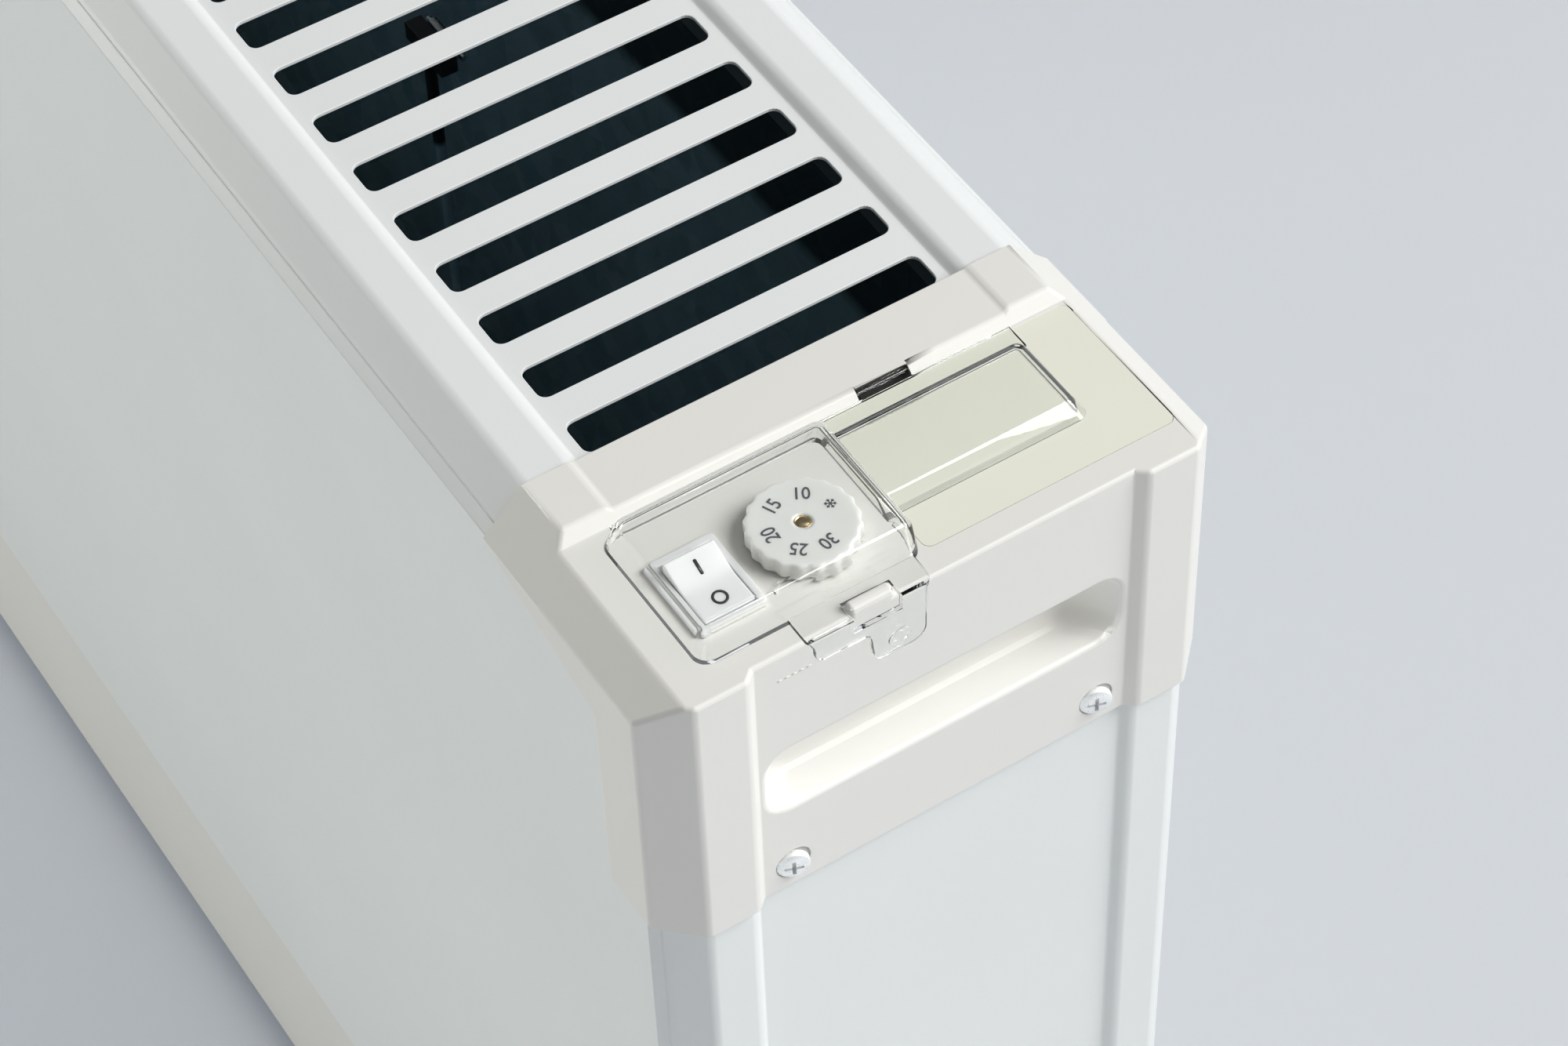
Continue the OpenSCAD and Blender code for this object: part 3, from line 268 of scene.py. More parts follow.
WIRES = {name: finish(name, colour, 0.38, vary=0.06, grain=1200.0)
         for name, colour in (("brown_wire", (0.16, 0.07, 0.035)), ("black_wire", (0.02, 0.02, 0.022)),
                              ("blue_wire", (0.03, 0.09, 0.30)), ("green_wire", (0.09, 0.24, 0.05)))}


# Mesh tools

def link(name, data):
    piece = bpy.data.objects.new(name, data)
    bpy.context.scene.collection.objects.link(piece)
    return piece


def opened(mesh):
    bm = bmesh.new()
    bm.from_mesh(mesh)
    return bm


def stored(bm, mesh):
    bm.to_mesh(mesh)
    bm.free()
    return mesh


def unpainted(name, bm):
    return link(name, stored(bm, bpy.data.meshes.new(name)))


def piece_of(name, bm, material):
    """A smooth piece in one material."""
    for face in bm.faces:
        face.smooth = True
    piece = unpainted(name, bm)
    mesh = piece.data
    if "custom_normal" in mesh.attributes:
        mesh.attributes.remove(mesh.attributes["custom_normal"])
    mesh.materials.clear()
    mesh.materials.append(material)
    return piece


def evaluated(piece):
    """A piece's shape with its modifiers applied, as a plain mesh."""
    bpy.context.view_layer.update()
    ready = piece.evaluated_get(bpy.context.evaluated_depsgraph_get())
    return bpy.data.meshes.new_from_object(ready)


def dress(piece, body, slot, *nodes):
    """Puts a piece on its body, in place of the nodes that it stands for. Its slot is not used."""
    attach(piece, body)
    if nodes:
        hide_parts(*nodes)


def welded(mesh):
    """The mesh with its loose triangles joined, and flat faces in one piece."""
    bm = opened(mesh)
    bmesh.ops.remove_doubles(bm, verts=bm.verts, dist=3e-6)
    bmesh.ops.dissolve_limit(bm, angle_limit=math.radians(0.5), verts=bm.verts, edges=bm.edges)
    return bm


def ease(bm, rule, side=1, widest=2.0):
    """Marks each edge with the rounding that the rule gives it, in millimetres."""
    layers = bm.edges.layers.float
    weight = layers.get("bevel_weight_edge") or layers.new("bevel_weight_edge")
    for edge in bm.edges:
        if len(edge.link_faces) != 2:
            continue
        angle = math.degrees(edge.calc_face_angle_signed(0.0))
        mid = (edge.verts[0].co + edge.verts[1].co) / 2
        place = ((side * mid.x - END) / MM, mid.y / MM, (mid.z - TOP) / MM)
        size = rule(edge, angle, place) if abs(angle) > 4 else 0.0
        edge[weight] = min(1.0, size / widest)
        edge.smooth = size > 0 or abs(angle) < 32
    return bm


def bevel(piece, widest=2.0, segments=3):
    change = piece.modifiers.new("eased_edges", "BEVEL")
    change.limit_method = "WEIGHT"
    change.offset_type = "OFFSET"
    change.width = widest * MM
    change.segments = segments
    change.use_clamp_overlap = False
    change.harden_normals = True
    return piece


def eased_copy(node, name, material, rule, side=1, widest=2.0, segments=3, cuts=()):
    """A copy of a node with its edges rounded. Cuts are planes, each a point and a normal, that split
    flat faces at their holes."""
    bm = welded(NODES[node].data)
    for spot, way in cuts:
        geometry = bm.verts[:] + bm.edges[:] + bm.faces[:]
        bmesh.ops.bisect_plane(bm, geom=geometry, dist=1e-6, plane_co=spot, plane_no=way)
    return bevel(piece_of(name, ease(bm, rule, side, widest), material), widest, segments)


def prism(outline, low, high, axis):
    """An outline drawn out along X, Y or Z. Points and limits are in metres."""
    bm = bmesh.new()
    slot = "xyz".index(axis)
    first, last = ([bm.verts.new((*p[:slot], depth, *p[slot:])) for p in map(tuple, outline)]
                   for depth in (low, high))
    bm.faces.new(first)
    bm.faces.new(list(reversed(last)))
    for i in range(len(outline)):
        k = (i + 1) % len(outline)
        bm.faces.new((first[k], first[i], last[i], last[k]))
    bmesh.ops.recalc_face_normals(bm, faces=bm.faces)
    return bm


def lathe(profile, steps=48):
    """A turned shape round Z. Profile points are radius and height, and a radius of 0 is on the axis."""
    bm = bmesh.new()
    rings = []
    for radius, height in profile:
        if radius == 0:
            rings.append([bm.verts.new((0, 0, height))])
        else:
            turns = [2 * math.pi * k / steps for k in range(steps)]
            rings.append([bm.verts.new((radius * math.cos(a), radius * math.sin(a), height)) for a in turns])
    for a, b in zip(rings, rings[1:]):
        for k in range(steps):
            n = (k + 1) % steps
            corners = [a[k % len(a)], a[n % len(a)], b[n % len(b)], b[k % len(b)]]
            corners = [v for i, v in enumerate(corners) if v not in corners[:i]]
            if len(corners) > 2:
                bm.faces.new(corners)
    bmesh.ops.recalc_face_normals(bm, faces=bm.faces)
    return bm


def looped(bm, rings):
    """Faces from each closed ring to the next, and from the last back to the first."""
    for low, high in zip(rings, rings[1:] + rings[:1]):
        for k in range(len(low)):
            n = (k + 1) % len(low)
            bm.faces.new((low[k], low[n], high[n], high[k]))
    bmesh.ops.recalc_face_normals(bm, faces=bm.faces)
    return bm


def moved(bm, matrix):
    bmesh.ops.transform(bm, matrix=matrix, verts=bm.verts)
    return bm


def joined(*parts):
    """Several meshes in one."""
    whole = bmesh.new()
    for part in parts:
        spare = stored(part, bpy.data.meshes.new("spare"))
        whole.from_mesh(spare)
        bpy.data.meshes.remove(spare)
    return whole


def in_metres(points):
    return [(x * MM, y * MM) for x, y in points]


def oblong(left, low, right, high):
    return [(left, low), (right, low), (right, high), (left, high)]


def unrounded(edge, angle, place):
    return 0.0


def rounded(width, height, radius, steps=5):
    """Outline of an oblong with round corners."""
    points = []
    for quarter in range(4):
        sx = 1 if quarter in (0, 3) else -1
        sy = 1 if quarter < 2 else -1
        for s in range(steps + 1):
            a = math.radians(90 * (quarter + s / steps))
            points.append((sx * (width / 2 - radius) + radius * math.cos(a),
                           sy * (height / 2 - radius) + radius * math.sin(a)))
    return points


# Geometry Nodes

class Tree:
    """A node tree in the making, with named inputs."""

    def __init__(self, name, **inputs):
        self.group = bpy.data.node_groups.new(name, "GeometryNodeTree")
        sockets = self.group.interface
        sockets.new_socket("Geometry", in_out="INPUT", socket_type="NodeSocketGeometry")
        sockets.new_socket("Geometry", in_out="OUTPUT", socket_type="NodeSocketGeometry")
        for label, kind in inputs.items():
            sockets.new_socket(label, in_out="INPUT", socket_type="NodeSocket" + kind)
        self.start = self.group.nodes.new("NodeGroupInput")
        self.end = self.group.nodes.new("NodeGroupOutput")

    def add(self, kind, inputs, **settings):
        return added(self.group, kind, inputs, **settings)

    def fillet(self, curve, radius, count):
        """Rounds a curve's corners in short straight steps."""
        corners = {"Count": count, "Curve": curve, "Radius": radius}
        return self.add("GeometryNodeFilletCurve", corners, mode="POLY")

    def swept(self, path, section):
        inputs = {"Fill Caps": True, "Curve": path, "Profile Curve": section}
        return self.add("GeometryNodeCurveToMesh", inputs).outputs["Mesh"]

    def real(self, geometry):
        return self.add("GeometryNodeRealizeInstances", {"Geometry": geometry}).outputs["Geometry"]

    def close(self, geometry, material):
        """Gives the result its material and ends the tree."""
        paint = self.add("GeometryNodeSetMaterial", {"Geometry": geometry, "Material": material})
        feed(self.group, self.end, {"Geometry": paint.outputs["Geometry"]})
        return self

    def run(self, piece, **values):
        """The result on a piece as a plain mesh. Inputs are set by their identifiers."""
        change = piece.modifiers.new(self.group.name, "NODES")
        change.node_group = self.group
        for item in self.group.interface.items_tree:
            if item.item_type == "SOCKET" and item.in_out == "INPUT" and item.name in values:
                change[item.identifier] = values[item.name]
        mesh = evaluated(piece)
        piece.modifiers.remove(change)
        return mesh


def slot_tree():
    """Cuts a row of round-cornered slots through a sheet."""
    tree = Tree("slotted_sheet", slot_length="Float", slot_width="Float", slot_corner="Float",
                slot_pitch="Float", slot_count="Int", first_slot="Vector", depth="Float", paint="Material")
    go = tree.start.outputs
    outline = tree.add("GeometryNodeCurvePrimitiveQuadrilateral",
                       {"Width": go["slot_width"], "Height": go["slot_length"]})
    round_off = tree.fillet(outline.outputs["Curve"], go["slot_corner"], 5)
    foot = tree.add("ShaderNodeCombineXYZ", {"Z": go["depth"]})
    path = tree.add("GeometryNodeCurvePrimitiveLine", {"End": foot.outputs["Vector"]})
    solid = tree.swept(path.outputs["Curve"], round_off.outputs["Curve"])
    step = tree.add("ShaderNodeCombineXYZ", {"X": go["slot_pitch"]})
    row = tree.add("GeometryNodeMeshLine", {"Count": go["slot_count"], "Start Location": go["first_slot"],
                                            "Offset": step.outputs["Vector"]})
    copies = tree.add("GeometryNodeInstanceOnPoints", {"Points": row.outputs["Mesh"], "Instance": solid})
    sides = {"Mesh 1": go["Geometry"], "Mesh 2": tree.real(copies.outputs["Instances"])}
    carve = tree.add("GeometryNodeMeshBoolean", sides, operation="DIFFERENCE", solver="EXACT")
    return tree.close(carve.outputs["Mesh"], go["paint"])


def repeat_tree():
    """Puts one item at every point, turned by the same angles."""
    tree = Tree("repeated_item", item="Object", turn="Vector", surface="Material")
    go = tree.start.outputs
    item = tree.add("GeometryNodeObjectInfo", {"Object": go["item"]}, transform_space="ORIGINAL")
    turn = tree.add("FunctionNodeEulerToRotation", {"Euler": go["turn"]})
    copies = tree.add("GeometryNodeInstanceOnPoints",
                      {"Points": go["Geometry"], "Instance": item.outputs["Geometry"],
                       "Rotation": turn.outputs["Rotation"]})
    return tree.close(tree.real(copies.outputs["Instances"]), go["surface"])


def wire_tree():
    """A round wire or tube along a path, with smooth bends."""
    tree = Tree("round_wire", radius="Float", bend="Float", surface="Material")
    go = tree.start.outputs
    path = tree.add("GeometryNodeMeshToCurve", {"Mesh": go["Geometry"]})
    smooth = tree.fillet(path.outputs["Curve"], go["bend"], 6)
    smooth.inputs["Limit Radius"].default_value = True
    section = tree.add("GeometryNodeCurvePrimitiveCircle", {"Resolution": 12, "Radius": go["radius"]})
    tube = tree.swept(smooth.outputs["Curve"], section.outputs["Curve"])
    return tree.close(tree.real(tube), go["surface"])


SLOTS = slot_tree()
REPEAT = repeat_tree()
WIRE = wire_tree()


def grown(name, tree, points, lines, **values):
    """One smooth mesh that a node tree makes from points and the lines between them."""
    seed = bpy.data.meshes.new("seed")
    seed.from_pydata([tuple(p) for p in points], lines, [])
    carrier = link("seed", seed)
    mesh = tree.run(carrier, **values)
    bpy.data.objects.remove(carrier)
    mesh.name = name
    mesh.shade_smooth()
    return link(name, mesh)


def repeated(name, item, points, turn, material):
    """One mesh with the item at each point."""
    return grown(name, REPEAT, points, [], item=item, turn=turn, surface=material)


def wire(name, points, radius, bend, material):
    """A round wire through the points, with its bends rounded."""
    lines = [(i, i + 1) for i in range(len(points) - 1)]
    piece = grown(name, WIRE, points, lines, radius=radius, bend=bend, surface=material)
    bm = opened(piece.data)
    bmesh.ops.recalc_face_normals(bm, faces=bm.faces)
    stored(bm, piece.data)
    return piece


# Sheet steel casing

SHEET = 1.0
CASE_HALF, CHAMFER_HALF, RAIL_HALF, SLOPE_HALF, TROUGH_HALF = 66.8, 65.9, 58.5, 47.75, 45.6
RAIL_RISE, TOP_CHAMFER, FLANGE_BEND, FLANGE_DROP = 2.15, 7.4, 4.3, 20.0
SHEET_END = -58.3
SLOT_PITCH, SLOT_COUNT = 0.0179, 30
CUT_FROM, CUT_DEPTH = TOP - 0.004, 0.008


def offset_outline(points, by):
    """An open outline moved sideways by a distance, square to its edges."""
    result = []
    for i, p in enumerate(points):
        before = points[i] - points[i - 1] if i else points[1] - points[0]
        after = points[i + 1] - points[i] if i < len(points) - 1 else before
        a, b = before.normalized(), after.normalized()
        side = Vector((-a.y, a.x)) + Vector((-b.y, b.x))
        result.append(p + side * (2 * by / side.length_squared))
    return result


def fold_rule(cut_edge, outer=1.4, inner=0.5):
    """Roundings of a folded sheet: its cut edges, and the outer and inner side of its bends."""
    def rule(edge, angle, place):
        if abs(angle) > 70:
            return cut_edge
        return outer if angle > 0 else inner
    return rule


def top_grille():
    """The folded top sheet, with its row of slots."""
    half = [(-CASE_HALF, -FLANGE_BEND - TOP_CHAMFER - FLANGE_DROP + RAIL_RISE),
            (-CASE_HALF, -FLANGE_BEND + RAIL_RISE - TOP_CHAMFER), (-CHAMFER_HALF, RAIL_RISE - TOP_CHAMFER),
            (-RAIL_HALF, RAIL_RISE), (-SLOPE_HALF, RAIL_RISE), (-TROUGH_HALF, 0)]
    outer = [Vector(p) for p in half] + [Vector((-x, z)) for x, z in reversed(half)]
    sheet = outer + list(reversed(offset_outline(outer, -SHEET)))
    outline = [(p.x * MM, TOP + p.y * MM) for p in sheet]
    blank = unpainted("sheet_blank", prism(outline, -END - SHEET_END * MM, END + SHEET_END * MM, "x"))
    mesh = SLOTS.run(blank, slot_length=0.086, slot_width=0.0097, slot_corner=0.0022, slot_pitch=SLOT_PITCH,
                     slot_count=SLOT_COUNT, first_slot=(-(SLOT_COUNT - 1) / 2 * SLOT_PITCH, 0, CUT_FROM),
                     depth=CUT_DEPTH, paint=PAINT)
    bpy.data.objects.remove(blank)
    bm = ease(welded(mesh), fold_rule(0.2, 1.5, 0.6), widest=1.5)
    dress(bevel(piece_of("slotted_top", bm, PAINT), 1.5, 3), "casing", "white_steel", "top_grille")


def panels():
    """Front, rear and end sheets with rounded folds."""
    for node, name in (("front_panel", "front_sheet"), ("rear_panel", "rear_sheet")):
        piece = eased_copy(node, name, PAINT, fold_rule(0.3), widest=1.0, segments=2)
        dress(piece, "casing", "white_steel", node)
    for side, node, name in ((1, "right_end_panel", "right_end_sheet"),
                             (-1, "left_end_panel", "left_end_sheet")):
        piece = eased_copy(node, name, PAINT, fold_rule(0.2, 1.3, 0.5), side, widest=1.3, segments=3)
        dress(piece, "casing", "white_steel", node)


def seam_fillers():
    """Folded edges that close the seams round the front and rear panels."""
    low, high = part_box("front_panel")
    inner, outer = abs(high.y), abs(low.y)

    def fold(reach, *ridge):
        """Section of a fold, as distances from the middle plane and out past the panel's edge."""
        return [(65.6, -4.0), (67.12, -4.0), (67.12, -0.6), (68.08, -0.32), *ridge,
                (65.95, reach), (65.6, reach)]

    # The panel's edge along a cap, as distances in from the end and down from the top
    skirt_foot, cap_start = 75.5, 66.8
    edge = [(13.0, skirt_foot), (25.4, skirt_foot), (25.4, 21.3), (cap_start, (TOP - high.z) / MM)]
    side_edge = END - 13.5 * MM
    run = END - cap_start * MM
    half_band = 0.7
    for side, name in ((-1, "front"), (1, "rear")):
        parts = [prism([(side * y * MM, high.z + out * MM) for y, out in fold(2.35)], -run, run, "x")]
        for end in (-1, 1):
            upright = [(end * (side_edge + out * MM), side * y * MM)
                       for y, out in fold(3.95, (68.08, 1.82))]
            parts.append(prism(upright, low.z, TOP - skirt_foot * MM, "z"))
            for a, b in zip(edge, edge[1:]):
                along = Vector((b[0] - a[0], b[1] - a[1])).normalized()
                out = Vector((along.y, -along.x)) * half_band
                band = [Vector(a) - out, Vector(b) - out, Vector(b) + out, Vector(a) + out]
                outline = [(end * (END - x * MM), TOP - z * MM) for x, z in band]
                parts.append(prism(outline, side * (inner + 0.2 * MM), side * (outer - 0.1 * MM), "y"))
        dress(piece_of(name + "_seam", ease(joined(*parts), unrounded), PAINT), "casing", "white_steel")


# End caps

def cap_rule(edge, angle, place):
    """Roundings of an end cap, by where its edges lie from the end, the middle and the grille."""
    x, y, z = place
    run = (edge.verts[0].co - edge.verts[1].co).length / MM
    outward = angle > 0
    # The grip and its rim
    if -51 < z < -28 and abs(y) < 44.5 and x > -2.6:
        return 1.4 if angle > 20 else 0.0
    # Inside of the moulding, also under its rail and chamfer, and the thin start of its skirt
    if z < -1.2 and abs(y) < 64 and x < -2.9:
        return 0.0
    if x < -51.5 and 47 < abs(y) < 68.5 and z < 2.6 and abs(y) + z < 61.6:
        return 0.0
    if x < -44 and abs(y) > 68.5 and z < -6:
        return 0.0
    # Upright steps beside the recessed end
    if 44.5 < abs(y) < 46.5 and z < -3 and x > -4 and not outward:
        return 0.3
    # Edges that meet the grille and the panels
    if x < -66 and z > -2:
        return 0.45
    if x < -64 or z < -74.5:
        return 0.25
    # Screw seats
    if z < -60 and abs(abs(y) - 38) < 5.5 and x > -5:
        return 0.3
    if abs(angle) < 8 or run < 0.35:
        return 0.0
    # The strip, with its hinge slot and its two ends
    if z > DECK + 0.4:
        if abs(y - 16.5) < 6.8 and x < -47 and z < 3.25:
            return 0.12
        if x < -51 and 47 < abs(y) < 49:
            return 0.75 if outward else 0.5
        return 0.9 if outward else 0.6
    # The deck's pockets, then its edge along the end
    if z > DECK - 0.6 and x < -4 and abs(y) < 61:
        return 0.15 if outward else 0.1
    if z > DECK - 1 and x > -4:
        return 1.1
    return 1.0 if outward else 0.5


def caps():
    """Both end caps, their flat tops split at the plate's middle and past the switch."""
    low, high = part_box("name_plate")
    spot = (low + high) / 2
    across, along = (1, 0, 0), (0, 1, 0)
    for side, node, name in ((1, "control_cap", "control_end_cap"), (-1, "plain_cap", "plain_end_cap")):
        cuts = [((side * spot.x, 0, 0), across), ((0, spot.y, 0), along),
                ((side * (END - 44 * MM), 0, 0), across)]
        piece = eased_copy(node, name, CAP, cap_rule, side, widest=1.4, segments=3, cuts=cuts)
        dress(piece, "casing", "white_plastic", node)


def name_plate():
    """A bare cream plate, let into the deck."""
    low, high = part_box("name_plate")
    middle = (low + high) / 2
    outline = [(middle.x + x * MM, middle.y + y * MM)
               for x, y in rounded((high.x - low.x) / MM, (high.y - low.y) / MM, 2.0)]
    bm = ease(prism(outline, low.z, high.z, "z"), unrounded)
    dress(piece_of("bare_plate", bm, PLATE), "casing", "cream_plate", "name_plate")


def moulding_marks():
    """A row of faint raised dashes high on the right end."""
    first, pitch, half = -39.4, 1.7, 0.5
    dashes = []
    for k in range(5):
        y = first + pitch * k
        outline = oblong((y - half) * MM, TOP - 7.05 * MM, (y + half) * MM, TOP - 6.75 * MM)
        dashes.append(prism(outline, END - 2.25 * MM, END - 2.08 * MM, "x"))
    dress(piece_of("moulding_dashes", joined(*dashes), CAP), "casing", "white_plastic")


def clear_cover():
    """The cover, with its flap's outline rounded more than the rest."""
    def rule(edge, angle, place):
        x, y, z = place
        run = (edge.verts[0].co - edge.verts[1].co).length / MM
        ring = math.hypot(y + 12.5, z + 9.9) < 3
        catch = -24 < y < -11 and z > -3
        if x > -2.2 and z < 0.4 and angle > 50 and not ring and not catch:
            return 0.35
        return 0.18 if abs(angle) > 50 and run > 0.5 and x < -3 else 0.0
    bm = ease(welded(NODES["control_cover"].data), rule, widest=0.35)
    piece = bevel(piece_of("clear_lid", bm, CLEAR), 0.35, 3)
    dress(piece, "cover", "clear_plastic", "control_cover")


# Controls

DISH = 0.04


def on_dial(radius, angle, z):
    """A place round the dial's axis."""
    return at(DIAL_INSET + radius * math.cos(angle), DIAL_Y + radius * math.sin(angle), z)


def dial():
    """Scalloped dial with a rounded brim, a soft dish and a raised hub."""
    scallops, deep = 20, 0.26
    steps = scallops * 8
    height, bore = DIAL_HEIGHT, 0.1605
    # Rings up the outside and down the bore: share of the radius, height, share of the scallops
    levels = ((0.965, 0.0, 0.6), (1.0, 0.25, 1.0), (1.0, height - 0.75, 1.0), (0.992, height - 0.35, 0.95),
              (0.968, height - 0.1, 0.75), (0.93, height, 0.35), (0.88, height, 0.0),
              (0.80, height - DISH, 0.0), (0.27, height - DISH, 0.0), (0.22, height, 0.0),
              (bore, height, 0.0), (bore, 0.0, 0.0))
    bm = bmesh.new()
    rings = []
    for part, z, wave in levels:
        ring = []
        for k in range(steps):
            a = 2 * math.pi * k / steps
            r = DIAL_RADIUS * part - wave * deep * (1 - math.cos(a * scallops))
            ring.append(bm.verts.new(on_dial(r, a, DIAL_BASE + z)))
        rings.append(ring)
    dress(piece_of("dial_knob", looped(bm, rings), DIAL), "dial", "dial_plastic", "thermostat_dial")


def lettering(name, text, size, where, turn, material):
    """A printed figure as a thin mesh, in millimetres, centred and turned about Z."""
    thick, stroke, narrow = 0.04, 0.045, 0.86
    curve = bpy.data.curves.new(name, "FONT")
    curve.body = text
    curve.size = size
    curve.extrude = thick / 2
    curve.offset = stroke
    curve.align_x = "CENTER"
    curve.align_y = "CENTER"
    curve.resolution_u = 4
    carrier = link(name, curve)
    mesh = evaluated(carrier)
    bpy.data.objects.remove(carrier)
    scale = Matrix.Diagonal((MM * narrow, MM, MM, 1))
    mesh.transform(Matrix.Translation(where) @ Matrix.Rotation(turn, 4, "Z") @ scale)
    mesh.materials.clear()
    mesh.materials.append(material)
    mesh.name = name
    return link(name, mesh)


def bar(length, width, height, x=0.0, turn=0.0):
    """A flat bar with round corners, moved out along X and then turned about Z."""
    outline = rounded(length, width, min(length, width) * 0.3, 3)
    bm = prism(in_metres(outline), 0, height * MM, "z")
    return moved(bm, Matrix.Rotation(turn, 4, "Z") @ Matrix.Translation((x * MM, 0, 0)))


# Figures on the dial and their places in degrees
DIAL_MARKS = (("10", 149.6), ("15", 204.4), ("20", 266.0), ("25", 320.2), ("30", 10.3))
STAR_ANGLE = 97.6
MARK_RADIUS, MARK_SIZE, MARK_HEIGHT = 7.15, 4.4, 0.04


def dial_marks():
    """The printed figures and the six-armed frost mark."""
    top = DIAL_TOP - DISH
    for text, angle in DIAL_MARKS:
        a = math.radians(angle)
        where = on_dial(MARK_RADIUS, a, top + MARK_HEIGHT / 2)
        piece = lettering("mark_" + text, text, MARK_SIZE, where, a - math.pi / 2, INK)
        dress(piece, "dial", "black_plastic")
    parts = []
    for k in range(6):
        turn = math.radians(60 * k)
        parts.append(bar(1.3, 0.24, MARK_HEIGHT, 0.62, turn))
        for lean in (-1, 1):
            arm = bar(0.5, 0.2, MARK_HEIGHT, 0.22, math.radians(50 * lean))
            place = Matrix.Rotation(turn, 4, "Z") @ Matrix.Translation((0.72 * MM, 0, 0))
            parts.append(moved(arm, place))
    where = on_dial(MARK_RADIUS, math.radians(STAR_ANGLE), top)
    star = piece_of("mark_frost", moved(joined(*parts), Matrix.Translation(where)), INK)
    dress(star, "dial", "black_plastic")


def spindle():
    """Brass spindle with a bright rim round its dark sawn end."""
    r, length = 1.9, 12
    place = Matrix.Translation(at(DIAL_INSET, DIAL_Y, DIAL_TOP))
    rim = lathe(in_metres([(0, -length), (r, -length), (r, -0.3), (r - 0.12, -0.1), (r - 0.3, -0.1),
                           (r - 0.42, -0.3), (0, -0.3)]))
    dress(piece_of("brass_spindle", moved(rim, place), BRASS), "dial", "brass", "thermostat_spindle")
    end = lathe(in_metres([(0, -0.32), (r - 0.42, -0.32), (r - 0.5, -0.22), (0, -0.2)]), 32)
    dress(piece_of("spindle_end", moved(end, place), DARK_BRASS), "dial", "brass")


def pointer():
    """Raised arrow on the deck that points at the dial."""
    size = 0.15
    outline = [(0, 0), (3.4, 1.15), (2.5, 0), (3.4, -1.15)]
    a = math.radians(-56)
    place = Matrix.Translation(on_dial(12.5, a, DECK)) @ Matrix.Rotation(a, 4, "Z")
    bm = moved(prism(in_metres(outline), -0.1 * MM, 0.35 * MM, "z"), place)
    bm = ease(bm, lambda edge, angle, place: size if angle > 20 else 0, widest=size)
    dress(bevel(piece_of("pointer_mark", bm, CAP), size, 2), "casing", "white_plastic")


# The rocker's half length, width, saddle height over its pivot, and lean
ROCKER_HALF, ROCKER_WIDE, VALLEY = 7.6, 11.9, 3.6
TILT = math.radians(10)
RIM_HEIGHT, SADDLE_RISE = 1.0, 0.2


def rocker_place():
    """The rocker's place, pressed at its outer end."""
    pivot = DECK + RIM_HEIGHT + SADDLE_RISE - VALLEY * math.cos(TILT)
    return Matrix.Translation(at(SWITCH_INSET, SWITCH_Y, pivot)) @ Matrix.Rotation(TILT, 4, "Y")


def saddle_height(x):
    """Height of the saddle over the pivot: two slopes with a soft valley between them."""
    soft = 0.012
    low, high = math.sqrt(soft), math.sqrt(1 + soft)
    part = (math.sqrt((x / ROCKER_HALF) ** 2 + soft) - low) / (high - low)
    return VALLEY + ROCKER_HALF * math.tan(TILT) * part


def rocker():
    """The rocker with its curved saddle, and its two printed marks."""
    spots = [ROCKER_HALF * (i / 6 - 1) for i in range(13)]
    outline = [(x, saddle_height(x)) for x in spots]
    outline += [(ROCKER_HALF, 0.5), (4, -3.2), (-4, -3.2), (-ROCKER_HALF, 0.5)]
    bm = prism(in_metres(outline), -ROCKER_WIDE / 2 * MM, ROCKER_WIDE / 2 * MM, "y")
    weight = bm.edges.layers.float.new("bevel_weight_edge")
    for edge in bm.edges:
        sharp = len(edge.link_faces) == 2 and edge.calc_face_angle(0) > math.radians(40)
        edge[weight] = 1.0 if sharp else 0.0
    moved(bm, rocker_place())
    piece = bevel(piece_of("rocker_key", bm, SWITCH), 0.45, 4)
    pin, reach = 1.2, 8.1
    pins = moved(lathe(in_metres([(0, -reach), (pin, -reach), (pin, reach), (0, reach)]), 24),
                 rocker_place() @ Matrix.Rotation(math.pi / 2, 4, "X"))
    dress(piece, "rocker", "switch_white", "switch_rocker")
    dress(piece_of("rocker_pin", pins, SWITCH), "rocker", "switch_white")
    thick = 0.05
    ring = bmesh.new()
    turns = [2 * math.pi * k / 40 for k in range(40)]
    loops = [[ring.verts.new((r * 1.08 * MM * math.cos(a), r * MM * math.sin(a), z * MM)) for a in turns]
             for r, z in ((1.72, 0.0), (1.72, thick), (1.14, thick), (1.14, 0.0))]
    for name, mark, x in (("mark_on", bar(3.5, 0.72, thick), -3.9), ("mark_off", looped(ring, loops), 4.1)):
        slope = math.atan(saddle_height(abs(x) + 0.5) - saddle_height(abs(x) - 0.5))
        lean = Matrix.Rotation(slope if x < 0 else -slope, 4, "Y")
        height = saddle_height(x) + 0.012
        moved(mark, rocker_place() @ Matrix.Translation((x * MM, 0.2 * MM, height * MM)) @ lean)
        dress(piece_of(name, mark, BLACK_INK), "rocker", "black_plastic")


# Screws

